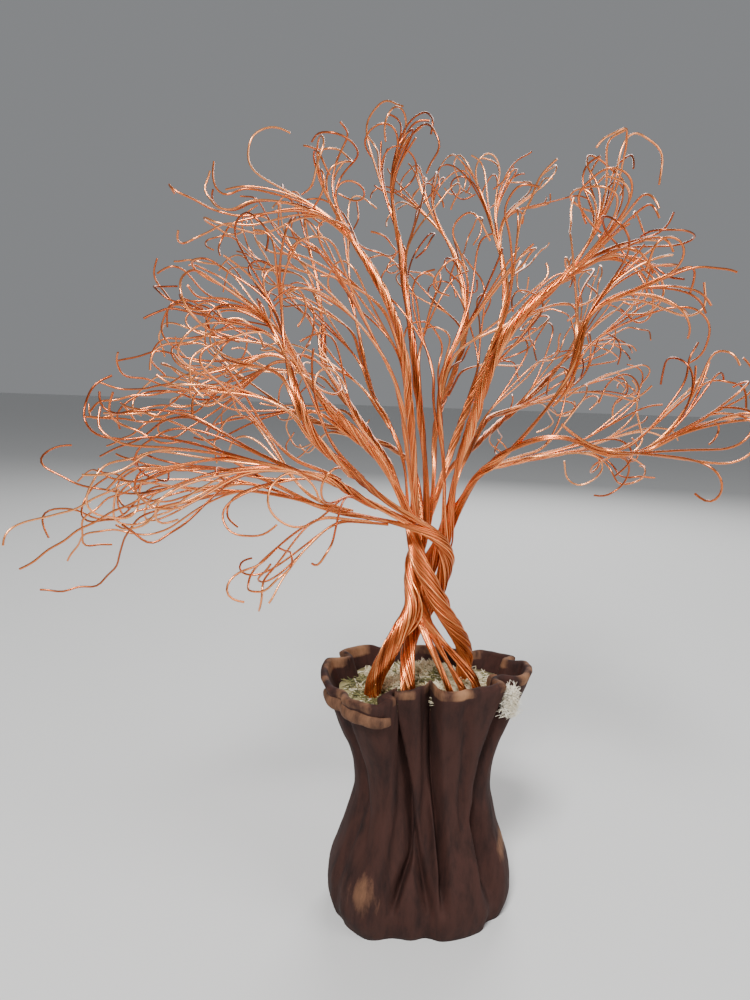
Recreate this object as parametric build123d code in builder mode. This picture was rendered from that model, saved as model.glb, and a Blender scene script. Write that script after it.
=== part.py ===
from build123d import *
import itertools
import math
import os
import random

# A tree twisted from lengths of bare copper wire, planted in a pleated clay pot.
# Millimetres. Z is up, -Y is the front, and the origin is the middle of the pot's foot.
# Every tube stands for a twisted bundle of wires, and each fork passes on the wires it
# has: the bundles that leave a fork hold as many wires between them as the one below.

os.makedirs("parts", exist_ok=True)

# ---- driving dimensions ----
WIRE = 0.6            # diameter of one copper wire
FILL = 0.82           # share of a twisted bundle's section that is metal
GAP = 0.30            # air left between bundles that leave the same fork
POT_H = 74.0          # height of the pot's rim
FLOOR_T = 3.2         # thickness of the slab under the pot
FILLER_TOP = 65.0     # top of the plaster that grips the roots
MOSS_TOP = 70.0       # top of the moss bed
ROOT_END = 61.0       # how far down the roots reach into the plaster


def bundle_radius(wires):
    return 0.5 * WIRE * math.sqrt(wires / FILL) if wires > 1 else 0.5 * WIRE


# ---- small vector helpers ----
def plus(a, b, k=1.0):
    return (a[0] + k * b[0], a[1] + k * b[1], a[2] + k * b[2])


def minus(a, b):
    return (a[0] - b[0], a[1] - b[1], a[2] - b[2])


def dot(a, b):
    return a[0] * b[0] + a[1] * b[1] + a[2] * b[2]


def cross(a, b):
    return (a[1] * b[2] - a[2] * b[1], a[2] * b[0] - a[0] * b[2], a[0] * b[1] - a[1] * b[0])


def length(a):
    return math.sqrt(dot(a, a))


def unit(a):
    n = length(a)
    return (a[0] / n, a[1] / n, a[2] / n)


def frame_of(t):
    u = cross(t, (0.0, 0.0, 1.0))
    if length(u) < 0.05:
        u = cross(t, (0.0, 1.0, 0.0))
    u = unit(u)
    return u, cross(t, u)


# ---- the pot's pleated outline ----
# A pleat is its place round the rim in degrees from +X, its half width in degrees, how
# far the slab turns there at the rim, and whether it laps over itself or makes a groove.
PLEATS = [
    (243, 15, 132, "lap"),
    (272, 13, 112, "groove"),
    (323, 13, 96, "groove"),
    (20, 11, 92, "groove"),
    (62, 11, 70, "groove"),
    (116, 11, 88, "groove"),
    (154, 12, 96, "groove"),
    (207, 9, 46, "groove"),
]
# height, width, depth, and the share of the rim's folding left at that height
POT_LEVELS = [
    (0, 54, 44, 0.36),
    (5, 58, 48, 0.42),
    (13, 57.5, 48, 0.52),
    (25, 50, 42, 0.66),
    (38, 45, 37, 0.78),
    (52, 48.5, 40, 0.86),
    (64, 57, 47, 0.94),
    (POT_H, 66, 54, 1.0),
]
WALL = 2.4            # thickness of the clay slab
OUTLINE_POINTS = 144


def outline(width, depth, fold):
    """The outside of the pot at one height, as a closed run of points."""
    steps = 720
    x = y = 0.0
    pts = []
    for i in range(steps):
        s = i * 360.0 / steps
        heading = s + 90.0
        for place, half, turn, kind in PLEATS:
            d = (s - place + 180.0) % 360.0 - 180.0
            if abs(d) >= half:
                continue
            if kind == "lap":
                heading += turn * fold * math.cos(0.5 * math.pi * d / half) ** 2
            else:
                swing = 0.5 + 0.5 * math.cos(0.5 * math.pi * d / half) ** 2
                heading -= turn * fold * swing * math.sin(math.pi * d / half)
        x += math.cos(math.radians(heading))
        y += math.sin(math.radians(heading))
        pts.append((x, y))
    pts = [(p[0] - x * (i + 1) / steps, p[1] - y * (i + 1) / steps) for i, p in enumerate(pts)]
    xs = [p[0] for p in pts]
    ys = [p[1] for p in pts]
    cx, cy = 0.5 * (max(xs) + min(xs)), 0.5 * (max(ys) + min(ys))
    kx, ky = width / (max(xs) - min(xs)), depth / (max(ys) - min(ys))
    return [((px - cx) * kx, (py - cy) * ky) for px, py in pts]


def inside_of(pts, wall):
    """The inside of the slab: each point moved in square to the slab. Where a bend is too
    tight for that, the points are spread evenly across the corner instead, and the whole
    run is then smoothed, as a thumb leaves it."""
    n = len(pts)
    moved = []
    good = []
    for i in range(n):
        a, b = pts[i - 2], pts[(i + 2) % n]
        dx, dy = b[0] - a[0], b[1] - a[1]
        h = math.hypot(dx, dy)
        q = (pts[i][0] - wall * dy / h, pts[i][1] + wall * dx / h)
        moved.append(q)
        good.append(all((q[0] - p[0]) ** 2 + (q[1] - p[1]) ** 2 > (abs(wall) - 0.04) ** 2 for p in pts[::2]))
    out = list(moved)
    for i in range(n):
        if good[i]:
            continue
        back = 1
        while not good[i - back]:
            back += 1
        ahead = 1
        while not good[(i + ahead) % n]:
            ahead += 1
        t = back / (back + ahead)
        p, q = moved[i - back], moved[(i + ahead) % n]
        out[i] = (p[0] + (q[0] - p[0]) * t, p[1] + (q[1] - p[1]) * t)
    for reach in (8, 8, 3):
        share = 2 * reach + 1
        out = [(sum(out[(i + j) % n][0] for j in range(-reach, reach + 1)) / share,
                sum(out[(i + j) % n][1] for j in range(-reach, reach + 1)) / share) for i in range(n)]
        for i in range(n):
            q = out[i]
            p = min(pts, key=lambda c: (c[0] - q[0]) ** 2 + (c[1] - q[1]) ** 2)
            d = math.hypot(q[0] - p[0], q[1] - p[1])
            if 0.01 < d < 0.9 * abs(wall):
                k = 0.9 * abs(wall) / d
                out[i] = (p[0] + (q[0] - p[0]) * k, p[1] + (q[1] - p[1]) * k)
    return out


# ---- the wire tree ----
# Each route starts where its bundle starts and runs through the points given.
ROOT_LEFT = [(-16.5, -8.2, ROOT_END), (-17.4, -8.8, 71), (-14, -8.7, 80), (-9.4, -7.6, 89), (-5, -5, 96)]
ROOT_CENTRE = [(-5.5, -10.5, ROOT_END), (-6, -12, 71), (-7, -8.5, 79), (-6.2, -2, 84)]
ROOT_BACK = [(11.5, 9, ROOT_END), (12.5, 8.5, 71), (12, 4.5, 81), (7.6, 0, 89), (2.6, -3, 96)]

STRANDS = {
    # name: wires, route
    "strand_left": (66, ROOT_LEFT + [(-6.4, -0.6, 104), (-5, 3.4, 112), (-1.6, 5.8, 120), (-0.6, 6, 130)]),
    "strand_centre": (49, ROOT_CENTRE + [
        (-3.2, 4.4, 89), (1.2, 4.8, 95.5), (3.8, 2, 103.5), (4.9, -2, 112), (0.3, -6.6, 119), (-6, -8.8, 122.5),
        (-12, -10, 124)]),
    "strand_right": (75, [(1.8, -8.4, 84), (-0.6, -5.8, 88), (-2.7, -1.4, 92), (-4.4, 2.6, 97.5), (-2.2, 5, 104),
                          (1.2, 5.8, 110), (4.4, 3.4, 117), (5, -0.6, 124), (5, -1.4, 130)]),
    "strand_back": (66, ROOT_BACK + [(-1, -4.8, 104), (-5.4, -3.6, 112), (-7, 0, 120), (-7.6, 1.5, 129)]),
}
RIGHT_ROOTS = [
    [(6.8, -9, ROOT_END), (7.6, -11.6, 71), (4.6, -12.4, 76.5)],
    [(10.6, -7.8, ROOT_END), (11.8, -8.8, 71), (8.4, -9.4, 77)],
    [(14, -5.6, ROOT_END), (15.8, -5.6, 71), (11.4, -4.6, 80.5)],
]

# Limbs: wires, and the points after the fork.
LIMBS = {
    "strand_centre": {
        "low_left": (15, [(-33, -15, 126), (-44, -15, 131)]),
        "left_reach": (18, [(-21, -14, 128.5), (-28, -24, 135), (-38, -30, 138), (-47, -32, 140)]),
        "left_sweep": (16, [(-17.5, -18, 132), (-26, -29, 139), (-35, -35, 148), (-38, -34, 157), (-42, -28, 166),
                            (-44, -20, 174)]),
    },
    "strand_back": {
        "left_rise": (24, [(-22, -5, 145), (-31, -8, 153), (-38, -6, 161), (-43, 0, 170)]),
        "crown_left": (18, [(-9, -5, 154), (-11, -8, 171), (-16, -6, 185), (-24, -2, 198), (-33, 2, 210)]),
        "left_back_rise": (12, [(-20, 20, 145), (-29, 34, 157), (-38, 44, 168), (-38, 50, 181), (-41, 52, 196)]),
        "thin_left": (6, [(-14, 10, 150), (-19, 18, 156), (-23, 28, 168), (-26, 36, 182), (-29, 40, 193)]),
        "upper_left_thin": (6, [(-12, -12, 160), (-18, -16, 171), (-23, -16, 178)]),
    },
    "strand_left": {
        "crown_up": (14, [(-4.5, 2.5, 148), (-6.5, 1.5, 160), (-9, 5, 178), (-12, 10, 194), (-13, 12, 206), (-18, 14, 218)]),
        "back_centre": (12, [(0, 18, 150), (6, 38, 162), (14, 58, 183), (12, 66, 202), (7, 70, 217), (-1, 72, 226)]),
        "back_left": (10, [(-12, 24, 142), (-27, 42, 145), (-46, 60, 149), (-63, 72, 158)]),
        "back_right_up": (18, [(9, 20, 152), (20, 38, 174), (26, 48, 191), (25, 54, 207), (21, 58, 220)]),
        "back_right": (12, [(14, 24, 143), (24, 42, 150), (43, 66, 163), (58, 80, 179)]),
    },
    "strand_right": {
        "crown_right": (25, [(8, -5, 146), (12, -8, 164), (17, -10, 177), (26, -10, 187), (34, -10, 194),
                             (39, -10, 200)]),
        "crown_centre": (8, [(0, -5, 150), (-1, -5, 162), (2, -4, 172), (7, -2, 180)]),
        "right_reach": (20, [(13, -14, 139), (21, -22, 148), (25, -24, 153)]),
        "right_low": (12, [(12, 1, 137), (21, 6, 139), (35, 15, 141), (53, 24, 144)]),
        "right_back": (10, [(12, 14, 144), (18, 28, 153), (29, 40, 155), (41, 48, 160), (54, 54, 163)]),
    },
}
SUB_LIMBS = {
    "right_reach": {
        "right_reach_up": (10, [(30, -25, 160), (32, -26, 167), (33, -26, 174), (33, -26, 180), (36, -25, 185),
                                (40, -24, 188)]),
        "right_reach_low": (10, [(31, -24, 151), (38, -24, 146), (46, -24, 144), (55, -23, 146), (63, -22, 152)]),
    },
}
# Where each limb frays: wires in the twig, the twig's end, and the point its wires reach for.
TWIGS = {
    "low_left": [(5, (-61, -12, 133), (-109, -8, 117)), (5, (-65, -18, 129), (-115, -20, 110)),
                 (5, (-58, -20, 139), (-91, -24, 144))],
    "left_reach": [(5, (-57, -40, 136), (-74, -48, 123)), (5, (-61, -36, 143), (-94, -42, 138)),
                   (4, (-57, -31, 148), (-102, -30, 146)), (4, (-56, -28, 139), (-109, -32, 122))],
    "left_sweep": [(5, (-52, -24, 181), (-71, -30, 184)), (4, (-51, -14, 187), (-64, -10, 196)),
                   (4, (-52, -28, 174), (-78, -36, 169)), (3, (-45, -26, 186), (-41, -30, 197))],
    "left_rise": [(6, (-58, -4, 165), (-105, -8, 159)), (6, (-61, 4, 173), (-95, 8, 185)),
                  (6, (-56, 10, 181), (-90, 16, 199)), (6, (-57, 6, 160), (-113, 2, 148))],
    "left_back_rise": [(4, (-52, 56, 209), (-62, 60, 224)), (4, (-47, 60, 213), (-50, 68, 233)),
                       (4, (-57, 62, 203), (-82, 72, 215))],
    "thin_left": [(3, (-36, 44, 206), (-51, 50, 217)), (3, (-31, 46, 210), (-32, 52, 229))],
    "upper_left_thin": [(3, (-31, -21, 183), (-41, -28, 189)), (3, (-28, -18, 188), (-33, -24, 198))],
    "crown_left": [(5, (-44, 5, 215), (-74, 6, 213)), (5, (-39, 0, 220), (-37, -6, 225)),
                   (4, (-43, -5, 209), (-77, -10, 199)), (4, (-35, 7, 222), (-27, 8, 228))],
    "crown_up": [(5, (-17, 14, 228), (-9, 12, 238)), (5, (-21, 18, 227), (-20, 24, 236)),
                 (4, (-15, 10, 226), (-12, 5, 233))],
    "crown_centre": [(4, (13, -4, 189), (20, -8, 202)), (4, (8, 2, 191), (3, 4, 207))],
    "crown_right": [(5, (43, -9, 210), (41, -12, 227)), (5, (46, -14, 206), (48, -20, 214)),
                    (5, (50, -8, 203), (58, -6, 202)), (5, (43, -3, 211), (37, 6, 226)),
                    (5, (48, -15, 199), (56, -22, 187))],
    "back_right_up": [(6, (17, 58, 232), (6, 60, 247)), (6, (23, 62, 233), (27, 64, 243)),
                      (6, (30, 62, 229), (45, 72, 237))],
    "back_centre": [(4, (-5, 74, 237), (-7, 80, 250)), (4, (0, 79, 238), (7, 86, 254)),
                    (4, (-9, 77, 234), (-20, 88, 243))],
    "right_reach_up": [(5, (46, -23, 194), (50, -28, 197)), (5, (49, -25, 188), (63, -28, 180))],
    "right_reach_low": [(5, (67, -22, 161), (69, -22, 171)), (5, (71, -20, 156), (79, -18, 158))],
    "right_low": [(4, (64, 29, 149), (78, 34, 153)), (4, (63, 31, 143), (75, 36, 137)),
                  (4, (61, 25, 141), (53, 20, 131))],
    "right_back": [(4, (64, 57, 169), (78, 64, 170)), (3, (61, 61, 171), (62, 68, 182)),
                   (3, (66, 62, 163), (84, 70, 160))],
    "back_left": [(5, (-76, 80, 166), (-96, 90, 176)), (5, (-75, 82, 158), (-93, 94, 147))],
    "back_right": [(4, (66, 84, 190), (79, 90, 202)), (4, (70, 86, 184), (91, 94, 184)),
                   (4, (63, 88, 192), (67, 97, 206))],
}
# The parts of the crown, each with the limbs that fray into it.
CROWN = {
    "low_left": ["low_left", "left_reach"],
    "left": ["left_rise"],
    "left_front": ["left_sweep", "upper_left_thin"],
    "back_left": ["back_left", "left_back_rise", "thin_left"],
    "crown_left": ["crown_left"],
    "crown": ["crown_up", "crown_centre"],
    "crown_back": ["back_right_up", "back_centre"],
    "crown_right": ["crown_right"],
    "right": ["right_reach_up", "right_reach_low"],
    "low_right": ["right_low", "right_back"],
    "back_right": ["back_right"],
}
HOOKED = 0.40         # share of wires that end in a hook
LOOPED = 0.35         # share of wires that swing round in a wide loop
# Side shoots: a few wires that leave a limb part of the way along it.
SHOOT_WIRES = 3
SHOOT_PLACES = (0.45, 0.62, 0.80)
SHOOT_LIMBS = ["low_left", "left_reach", "left_sweep", "left_rise", "left_back_rise", "crown_left", "crown_up",
               "crown_right", "back_right_up", "back_centre", "right_reach_low", "right_reach_up", "right_low",
               "right_back", "back_left", "back_right", "thin_left", "crown_centre"]
dice = random.Random(11)


def ring(radii):
    """Places round a ring, and its radius, for discs that just clear their neighbours."""
    n = len(radii)
    if n == 1:
        return 0.0, [0.0]
    if n == 2:
        return 0.5 * (radii[0] + radii[1] + GAP), [0.0, math.pi]
    pair = [radii[i] + radii[(i + 1) % n] + GAP for i in range(n)]
    low, high = 0.5 * max(pair) + 1e-6, 20.0
    for _ in range(50):
        mid = 0.5 * (low + high)
        if sum(2 * math.asin(p / (2 * mid)) for p in pair) > 2 * math.pi:
            low = mid
        else:
            high = mid
    places = [0.0]
    for p in pair[:-1]:
        places.append(places[-1] + 2 * math.asin(p / (2 * high)))
    return high, places


def nearest(a, b, reach=16.0, step=1.6):
    """The least distance between the first stretches of two routes."""
    pa = [p for p, run in samples(a, step) if run < reach]
    pb = [p for p, run in samples(b, step) if run < reach]
    return min(length(minus(p, q)) for p in pa for q in pb)


def fork(point, tangent, radii, aims, lead=3.0):
    """Start points on the end face of a bundle: discs in a ring, in the order and at the
    turn that leave the most air between the bundles as they part."""
    n = len(radii)
    u, v = frame_of(tangent)
    best = None
    orders = [(0,) + p for p in itertools.permutations(range(1, n))]
    for order in orders:
        rad, places = ring([radii[i] for i in order])
        for k in range(18):
            turn = k * math.pi / 9
            starts = [None] * n
            for i, a in zip(order, places):
                x, y = rad * math.cos(a + turn), rad * math.sin(a + turn)
                starts[i] = plus(plus(point, u, x), v, y)
            ways = [[s, plus(s, tangent, lead), a] for s, a in zip(starts, aims)]
            air = 9.0
            for i in range(n):
                for j in range(i):
                    air = min(air, nearest(ways[i], ways[j]) - radii[i] - radii[j])
            short = sum(length(minus(w[1], w[2])) for w in ways)
            score = min(air, 0.05) * 1000.0 - short
            if best is None or score > best[0]:
                best = (score, starts)
    return best[1]


def spread(point, tangent, count, aims):
    """Start points for single wires on the end face of a twig, in the order of their aims."""
    u, v = frame_of(tangent)
    rad, places = ring([0.5 * WIRE + 0.04] * count)
    side = [math.atan2(dot(minus(a, point), v), dot(minus(a, point), u)) for a in aims]
    order = sorted(range(count), key=lambda i: side[i])
    sx = sum(math.cos(side[i] - a) for i, a in zip(order, places))
    sy = sum(math.sin(side[i] - a) for i, a in zip(order, places))
    turn = math.atan2(sy, sx)
    starts = [None] * count
    for i, a in zip(order, places):
        starts[i] = plus(plus(point, u, rad * math.cos(a + turn)), v, rad * math.sin(a + turn))
    return starts


def bend_radius(route, wanted):
    """The largest bend, up to the one wanted, that fits every corner of the route."""
    best = wanted
    for a, b, c in zip(route, route[1:], route[2:]):
        before, after = minus(b, a), minus(c, b)
        turn = math.acos(max(-1.0, min(1.0, dot(unit(before), unit(after)))))
        if turn > 0.02:
            best = min(best, 0.46 * min(length(before), length(after)) / math.tan(0.5 * turn))
    return best


# ---- clear air between bundles ----
CELL = 8.0
taken = {}


def samples(route, step=0.9):
    out = []
    run = 0.0
    for a, b in zip(route, route[1:]):
        d = length(minus(b, a))
        k = max(1, int(d / step))
        for i in range(k):
            out.append((plus(a, minus(b, a), i / k), run + d * i / k))
        run += d
    out.append((route[-1], run))
    return out


def occupy(name, route, radius):
    for p, run in samples(route):
        key = (int(p[0] // CELL), int(p[1] // CELL), int(p[2] // CELL))
        taken.setdefault(key, []).append((p, radius, name, run))


def clash(route, radius, kin, air=0.25):
    """The worst shortfall in clear air, leaving out the kin near the fork they share."""
    worst = 0.0
    for p, run in samples(route):
        kx, ky, kz = int(p[0] // CELL), int(p[1] // CELL), int(p[2] // CELL)
        for ix in (kx - 1, kx, kx + 1):
            for iy in (ky - 1, ky, ky + 1):
                for iz in (kz - 1, kz, kz + 1):
                    for q, r, name, there in taken.get((ix, iy, iz), ()):
                        if name in kin and run < kin[name]:
                            continue
                        d = length(minus(p, q)) - r - radius - air
                        if d < worst:
                            worst = d
    return worst


ends = {}             # name of a bundle: its end point, end tangent and wires
routes = {}           # name of a bundle: radius, route and bend radius


def lay(name, wires, route, bend):
    radius = bundle_radius(wires)
    routes[name] = (radius, route, bend_radius(route, bend))
    ends[name] = (route[-1], unit(minus(route[-1], route[-2])), wires)
    occupy(name, route, radius)


for name, (wires, route) in STRANDS.items():
    lay(name, wires, route, 9.0)

first = STRANDS["strand_right"][1]
lead = unit(minus(first[1], first[0]))
joins = fork(first[0], minus((0, 0, 0), lead), [bundle_radius(25)] * 3, [r[-1] for r in RIGHT_ROOTS])
for i, (start, route) in enumerate(zip(joins, RIGHT_ROOTS)):
    lay("right_root_%d" % i, 25, route + [plus(start, lead, -3.0), start], 7.0)

for parents in (LIMBS, SUB_LIMBS):
    for parent, limbs in parents.items():
        point, tangent, wires = ends[parent]
        radii = [bundle_radius(w) for w, _ in limbs.values()]
        starts = fork(point, tangent, radii, [r[0] for _, r in limbs.values()])
        for (name, (w, route)), start in zip(limbs.items(), starts):
            lay(name, w, [start, plus(start, tangent, 3.0)] + route, 8.0)

for limb, twigs in TWIGS.items():
    point, tangent, wires = ends[limb]
    radii = [bundle_radius(w) for w, _, _ in twigs]
    starts = fork(point, tangent, radii, [e for _, e, _ in twigs], 2.2)
    for k, ((w, end, reach), start) in enumerate(zip(twigs, starts)):
        lead = plus(start, tangent, 2.2)
        chord = minus(end, lead)
        middle = plus(plus(lead, chord, 0.5), tangent, 0.12 * length(chord))
        lay("%s_twig_%d" % (limb, k), w, [start, lead, middle, end], 7.0)

# Loose ends: one wire each, fanned about the point their twig reaches for.
LOW_EDGE = (-134, -50, 98)
HIGH_EDGE = (92, 100, 249)


def inside(route):
    for p in route:
        for i in range(3):
            if p[i] < LOW_EDGE[i] + 0.5 or p[i] > HIGH_EDGE[i] - 0.5:
                return False
    return True



def heading(forward, sideways, degrees):
    """The direction reached by turning from forward towards sideways."""
    t = math.radians(degrees)
    return plus(plus((0, 0, 0), forward, math.cos(t)), sideways, math.sin(t))


def wire_end(start, tangent, aim):
    """One way for a loose wire to run: along its twig, a sway, then straight, hooked or looped."""
    chance = dice.random()
    lead = plus(start, tangent, 1.6)
    share = 0.66 + 0.40 * dice.random()
    if chance < HOOKED + LOOPED:
        share = 0.44 + 0.44 * dice.random()
    aim = plus(lead, minus(aim, lead), share)
    chord = minus(aim, lead)
    n1, n2 = frame_of(unit(chord))
    sway = [(dice.random() - 0.5) * 0.40 * length(chord) for _ in range(4)]
    one = plus(plus(plus(lead, chord, 0.33), n1, sway[0]), n2, sway[1])
    two = plus(plus(plus(lead, chord, 0.68), n1, sway[2]), n2, sway[3])
    route = [start, lead, one, two, aim]
    if chance > HOOKED + LOOPED:
        return route
    if chance < LOOPED:
        route = route[:4]
        legs, leg, turn = 4 + int(3 * dice.random()), 4.2 + 2.8 * dice.random(), 46
    else:
        legs, leg, turn = 2 + int(2 * dice.random()), 3.8 + 2.6 * dice.random(), 58
    forward = unit(minus(route[-1], route[-2]))
    a = 2 * math.pi * dice.random()
    m1, m2 = frame_of(forward)
    sideways = plus(plus((0, 0, 0), m1, math.cos(a)), m2, math.sin(a))
    for k in range(legs):
        route.append(plus(route[-1], heading(forward, sideways, turn * (k + 0.6)), leg))
    return route


def fray(twig, limb, reach):
    """Lets the wires of a twig part, each one by the first way found that clears the rest."""
    point, tangent, w = ends[twig]
    span = length(minus(reach, point))
    u, v = frame_of(unit(minus(reach, point)))
    aims = []
    for j in range(w):
        a = 2 * math.pi * (j + 0.5 * dice.random()) / w
        wide = span * (0.18 + 0.22 * dice.random())
        aims.append(plus(plus(reach, u, wide * math.cos(a)), v, wide * math.sin(a)))
    starts = spread(point, tangent, w, aims)
    for j in range(w):
        name = "%s_tip_%d" % (twig, j)
        kin = {twig: 3.2, limb: 3.2}
        for i in range(w):
            kin["%s_tip_%d" % (twig, i)] = 2.2
        best = None
        for attempt in range(90):
            route = wire_end(starts[j], tangent, aims[j])
            fault = 0.0 if inside(route) else -3.0
            if bend_radius(route, 9.0) < 1.0:
                fault -= 2.0
            fault += clash(route, 0.5 * WIRE, kin, 0.12)
            if best is None or fault > best[0]:
                best = (fault, route)
            if fault == 0.0:
                break
        lay(name, 1, best[1], 9.0)


for limb, twigs in TWIGS.items():
    for k, (w, end, reach) in enumerate(twigs):
        fray("%s_twig_%d" % (limb, k), limb, reach)


def place_on(route, share):
    """A point part of the way along a route, and the direction there."""
    whole = sum(length(minus(b, a)) for a, b in zip(route, route[1:]))
    left = share * whole
    for a, b in zip(route, route[1:]):
        d = length(minus(b, a))
        if left <= d:
            return plus(a, minus(b, a), left / d), unit(minus(b, a))
        left -= d
    return route[-1], unit(minus(route[-1], route[-2]))


MIDDLE = (-5.0, 8.0, 165.0)
for limb in SHOOT_LIMBS:
    radius, route, bend = routes[limb]
    thin = bundle_radius(SHOOT_WIRES)
    for k, share in enumerate(SHOOT_PLACES):
        point, tangent = place_on(route, share)
        outward = unit(minus(point, MIDDLE))
        u, v = frame_of(tangent)
        shoot = "%s_shoot_%d" % (limb, k)
        best = None
        for attempt in range(40):
            a = 2 * math.pi * dice.random()
            side = plus(plus((0, 0, 0), u, math.cos(a)), v, math.sin(a))
            start = plus(point, side, radius + thin + 0.12)
            away = unit(plus(plus(side, tangent, 0.9), outward, 0.35))
            reach = 9.0 + 9.0 * dice.random()
            along = plus(plus(start, tangent, 2.2), side, 0.7)
            half = plus(plus(along, away, 0.5 * reach), tangent, 0.12 * reach)
            trial = [start, along, half, plus(along, away, reach)]
            fault = clash(trial, thin, {limb: 2.5}) if inside(trial) else -9.0
            if bend_radius(trial, 7.0) < 1.2:
                fault -= 2.0
            if best is None or fault > best[0]:
                best = (fault, trial, away)
            if fault == 0.0:
                break
        if best[0] < 0.0:
            continue
        lay(shoot, SHOOT_WIRES, best[1], 7.0)
        reach = plus(best[1][-1], best[2], 15.0 + 14.0 * dice.random())
        fray(shoot, limb, reach)


# ---- solids ----
def tube(name):
    radius, route, bend = routes[name]
    with BuildPart() as made:
        with BuildLine() as path:
            FilletPolyline(*route, radius=bend)
        with BuildSketch(Plane(origin=route[0], z_dir=minus(route[1], route[0]))):
            Circle(radius)
        sweep(path=path.line)
    return made.part


def pot_loft(wall, low, high):
    """The pot's outside when the wall is nought, or else the hollow inside it."""
    with BuildPart() as made:
        for z, width, depth, fold in POT_LEVELS:
            pts = outline(width, depth, fold)
            if wall > 0:
                pts = inside_of(pts, wall)
            if z == POT_LEVELS[0][0]:
                z = low
            if z == POT_LEVELS[-1][0]:
                z = high
            with BuildSketch(Plane.XY.offset(z)):
                with BuildLine():
                    Spline(*pts[::len(pts) // OUTLINE_POINTS], periodic=True)
                make_face()
        loft()
    return made.part


def bundles(names):
    with BuildPart() as made:
        add([tube(n) for n in names])
    return made.part


def twigs_of(group):
    return [n for limb in CROWN[group] for n in routes if n.startswith(limb + "_twig_") and "_tip_" not in n]


def wires_of(group):
    """The loose ends, and the side shoots with theirs."""
    return [n for limb in CROWN[group] for n in routes
            if n.startswith(limb + "_shoot_") or (n.startswith(limb + "_twig_") and "_tip_" in n)]


def band(z_low, z_high, first, last, inner, outer):
    """A strip that follows the outside of the pot between two places round its rim."""
    z_mid = 0.5 * (z_low + z_high)
    below = [lv for lv in POT_LEVELS if lv[0] <= z_mid][-1]
    above = [lv for lv in POT_LEVELS if lv[0] > z_mid][0]
    t = (z_mid - below[0]) / (above[0] - below[0])
    width, depth, fold = [below[i] + t * (above[i] - below[i]) for i in (1, 2, 3)]
    pts = outline(width, depth, fold)
    near = inside_of(pts, inner)
    far = inside_of(pts, -outer)
    a = int(first * 2)
    b = int(last * 2)
    edge = far[a:b:4] + near[a:b:4][::-1]
    with BuildPart() as made:
        with BuildSketch(Plane.XY.offset(z_low)):
            with BuildLine():
                Polyline(*edge, close=True)
            make_face()
        extrude(amount=z_high - z_low)
    return made.part


# trunk and crown
with BuildPart() as strand_left:
    add(tube("strand_left"))
with BuildPart() as strand_centre:
    add(tube("strand_centre"))
with BuildPart() as strand_right:
    add(tube("strand_right"))
with BuildPart() as strand_back:
    add(tube("strand_back"))
with BuildPart() as right_roots:
    add(bundles(["right_root_0", "right_root_1", "right_root_2"]))
trunk = [strand_left, strand_centre, strand_right, strand_back, right_roots]

# pot and what fills it
outside = pot_loft(0.0, 0.0, POT_H)
hollow = pot_loft(WALL, -1.0, POT_H + 1.0)
with BuildPart() as pot_wall:
    add(outside)
    add(hollow, mode=Mode.SUBTRACT)
with BuildPart() as pot_floor:
    with Locations((0, 0, 0.5 * FLOOR_T)):
        Box(90, 90, FLOOR_T)
    add(hollow, mode=Mode.INTERSECT)
with BuildPart() as pot_filler:
    with Locations((0, 0, 0.5 * (FLOOR_T + FILLER_TOP))):
        Box(90, 90, FILLER_TOP - FLOOR_T)
    add(hollow, mode=Mode.INTERSECT)
    for piece in trunk:
        add(piece.part, mode=Mode.SUBTRACT)
with BuildPart() as moss_bed:
    with Locations((0, 0, 0.5 * (FILLER_TOP + MOSS_TOP))):
        Box(90, 90, MOSS_TOP - FILLER_TOP)
    add(hollow, mode=Mode.INTERSECT)
    for piece in trunk:
        add(piece.part, mode=Mode.SUBTRACT)


def tuft(x, y, width, height):
    """A low cushion standing on the moss bed, with the roots left clear."""
    r = (width ** 2 / 4 + height ** 2) / (2 * height)
    with BuildPart() as made:
        with Locations((x, y, MOSS_TOP + height - r)):
            Sphere(r)
        with Locations((x, y, MOSS_TOP - r)):
            Box(3 * r, 3 * r, 2 * r, mode=Mode.SUBTRACT)
        for piece in trunk:
            add(piece.part, mode=Mode.SUBTRACT)
        add(pot_wall.part, mode=Mode.SUBTRACT)
    return made.part


with BuildPart() as moss_tuft_left:
    add(tuft(-12, -1, 12, 2.6))
with BuildPart() as moss_tuft_centre:
    add(tuft(3, -6, 9, 3.0))
with BuildPart() as moss_tuft_back:
    add(tuft(1, 12, 13, 3.2))
with BuildPart() as rim_hem:
    add(band(66.8, 70.6, 186, 238, 1.5, 1.9))
    add(outside, mode=Mode.SUBTRACT)
with BuildPart() as rim_curl:
    with Locations((20.0, -4.2, MOSS_TOP + 2.6)):
        Cylinder(2.3, 5.2)
        Cylinder(1.0, 5.2, mode=Mode.SUBTRACT)
    add(pot_wall.part, mode=Mode.SUBTRACT)
    for piece in trunk:
        add(piece.part, mode=Mode.SUBTRACT)
with BuildPart() as fibre_tuft:
    with Locations((23.6, -12.0, 70.5)):
        Cylinder(1.9, 9)
    with Locations((23.6, -12.0, 75.0)):
        Sphere(1.9)
    add(outside, mode=Mode.SUBTRACT)

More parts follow.
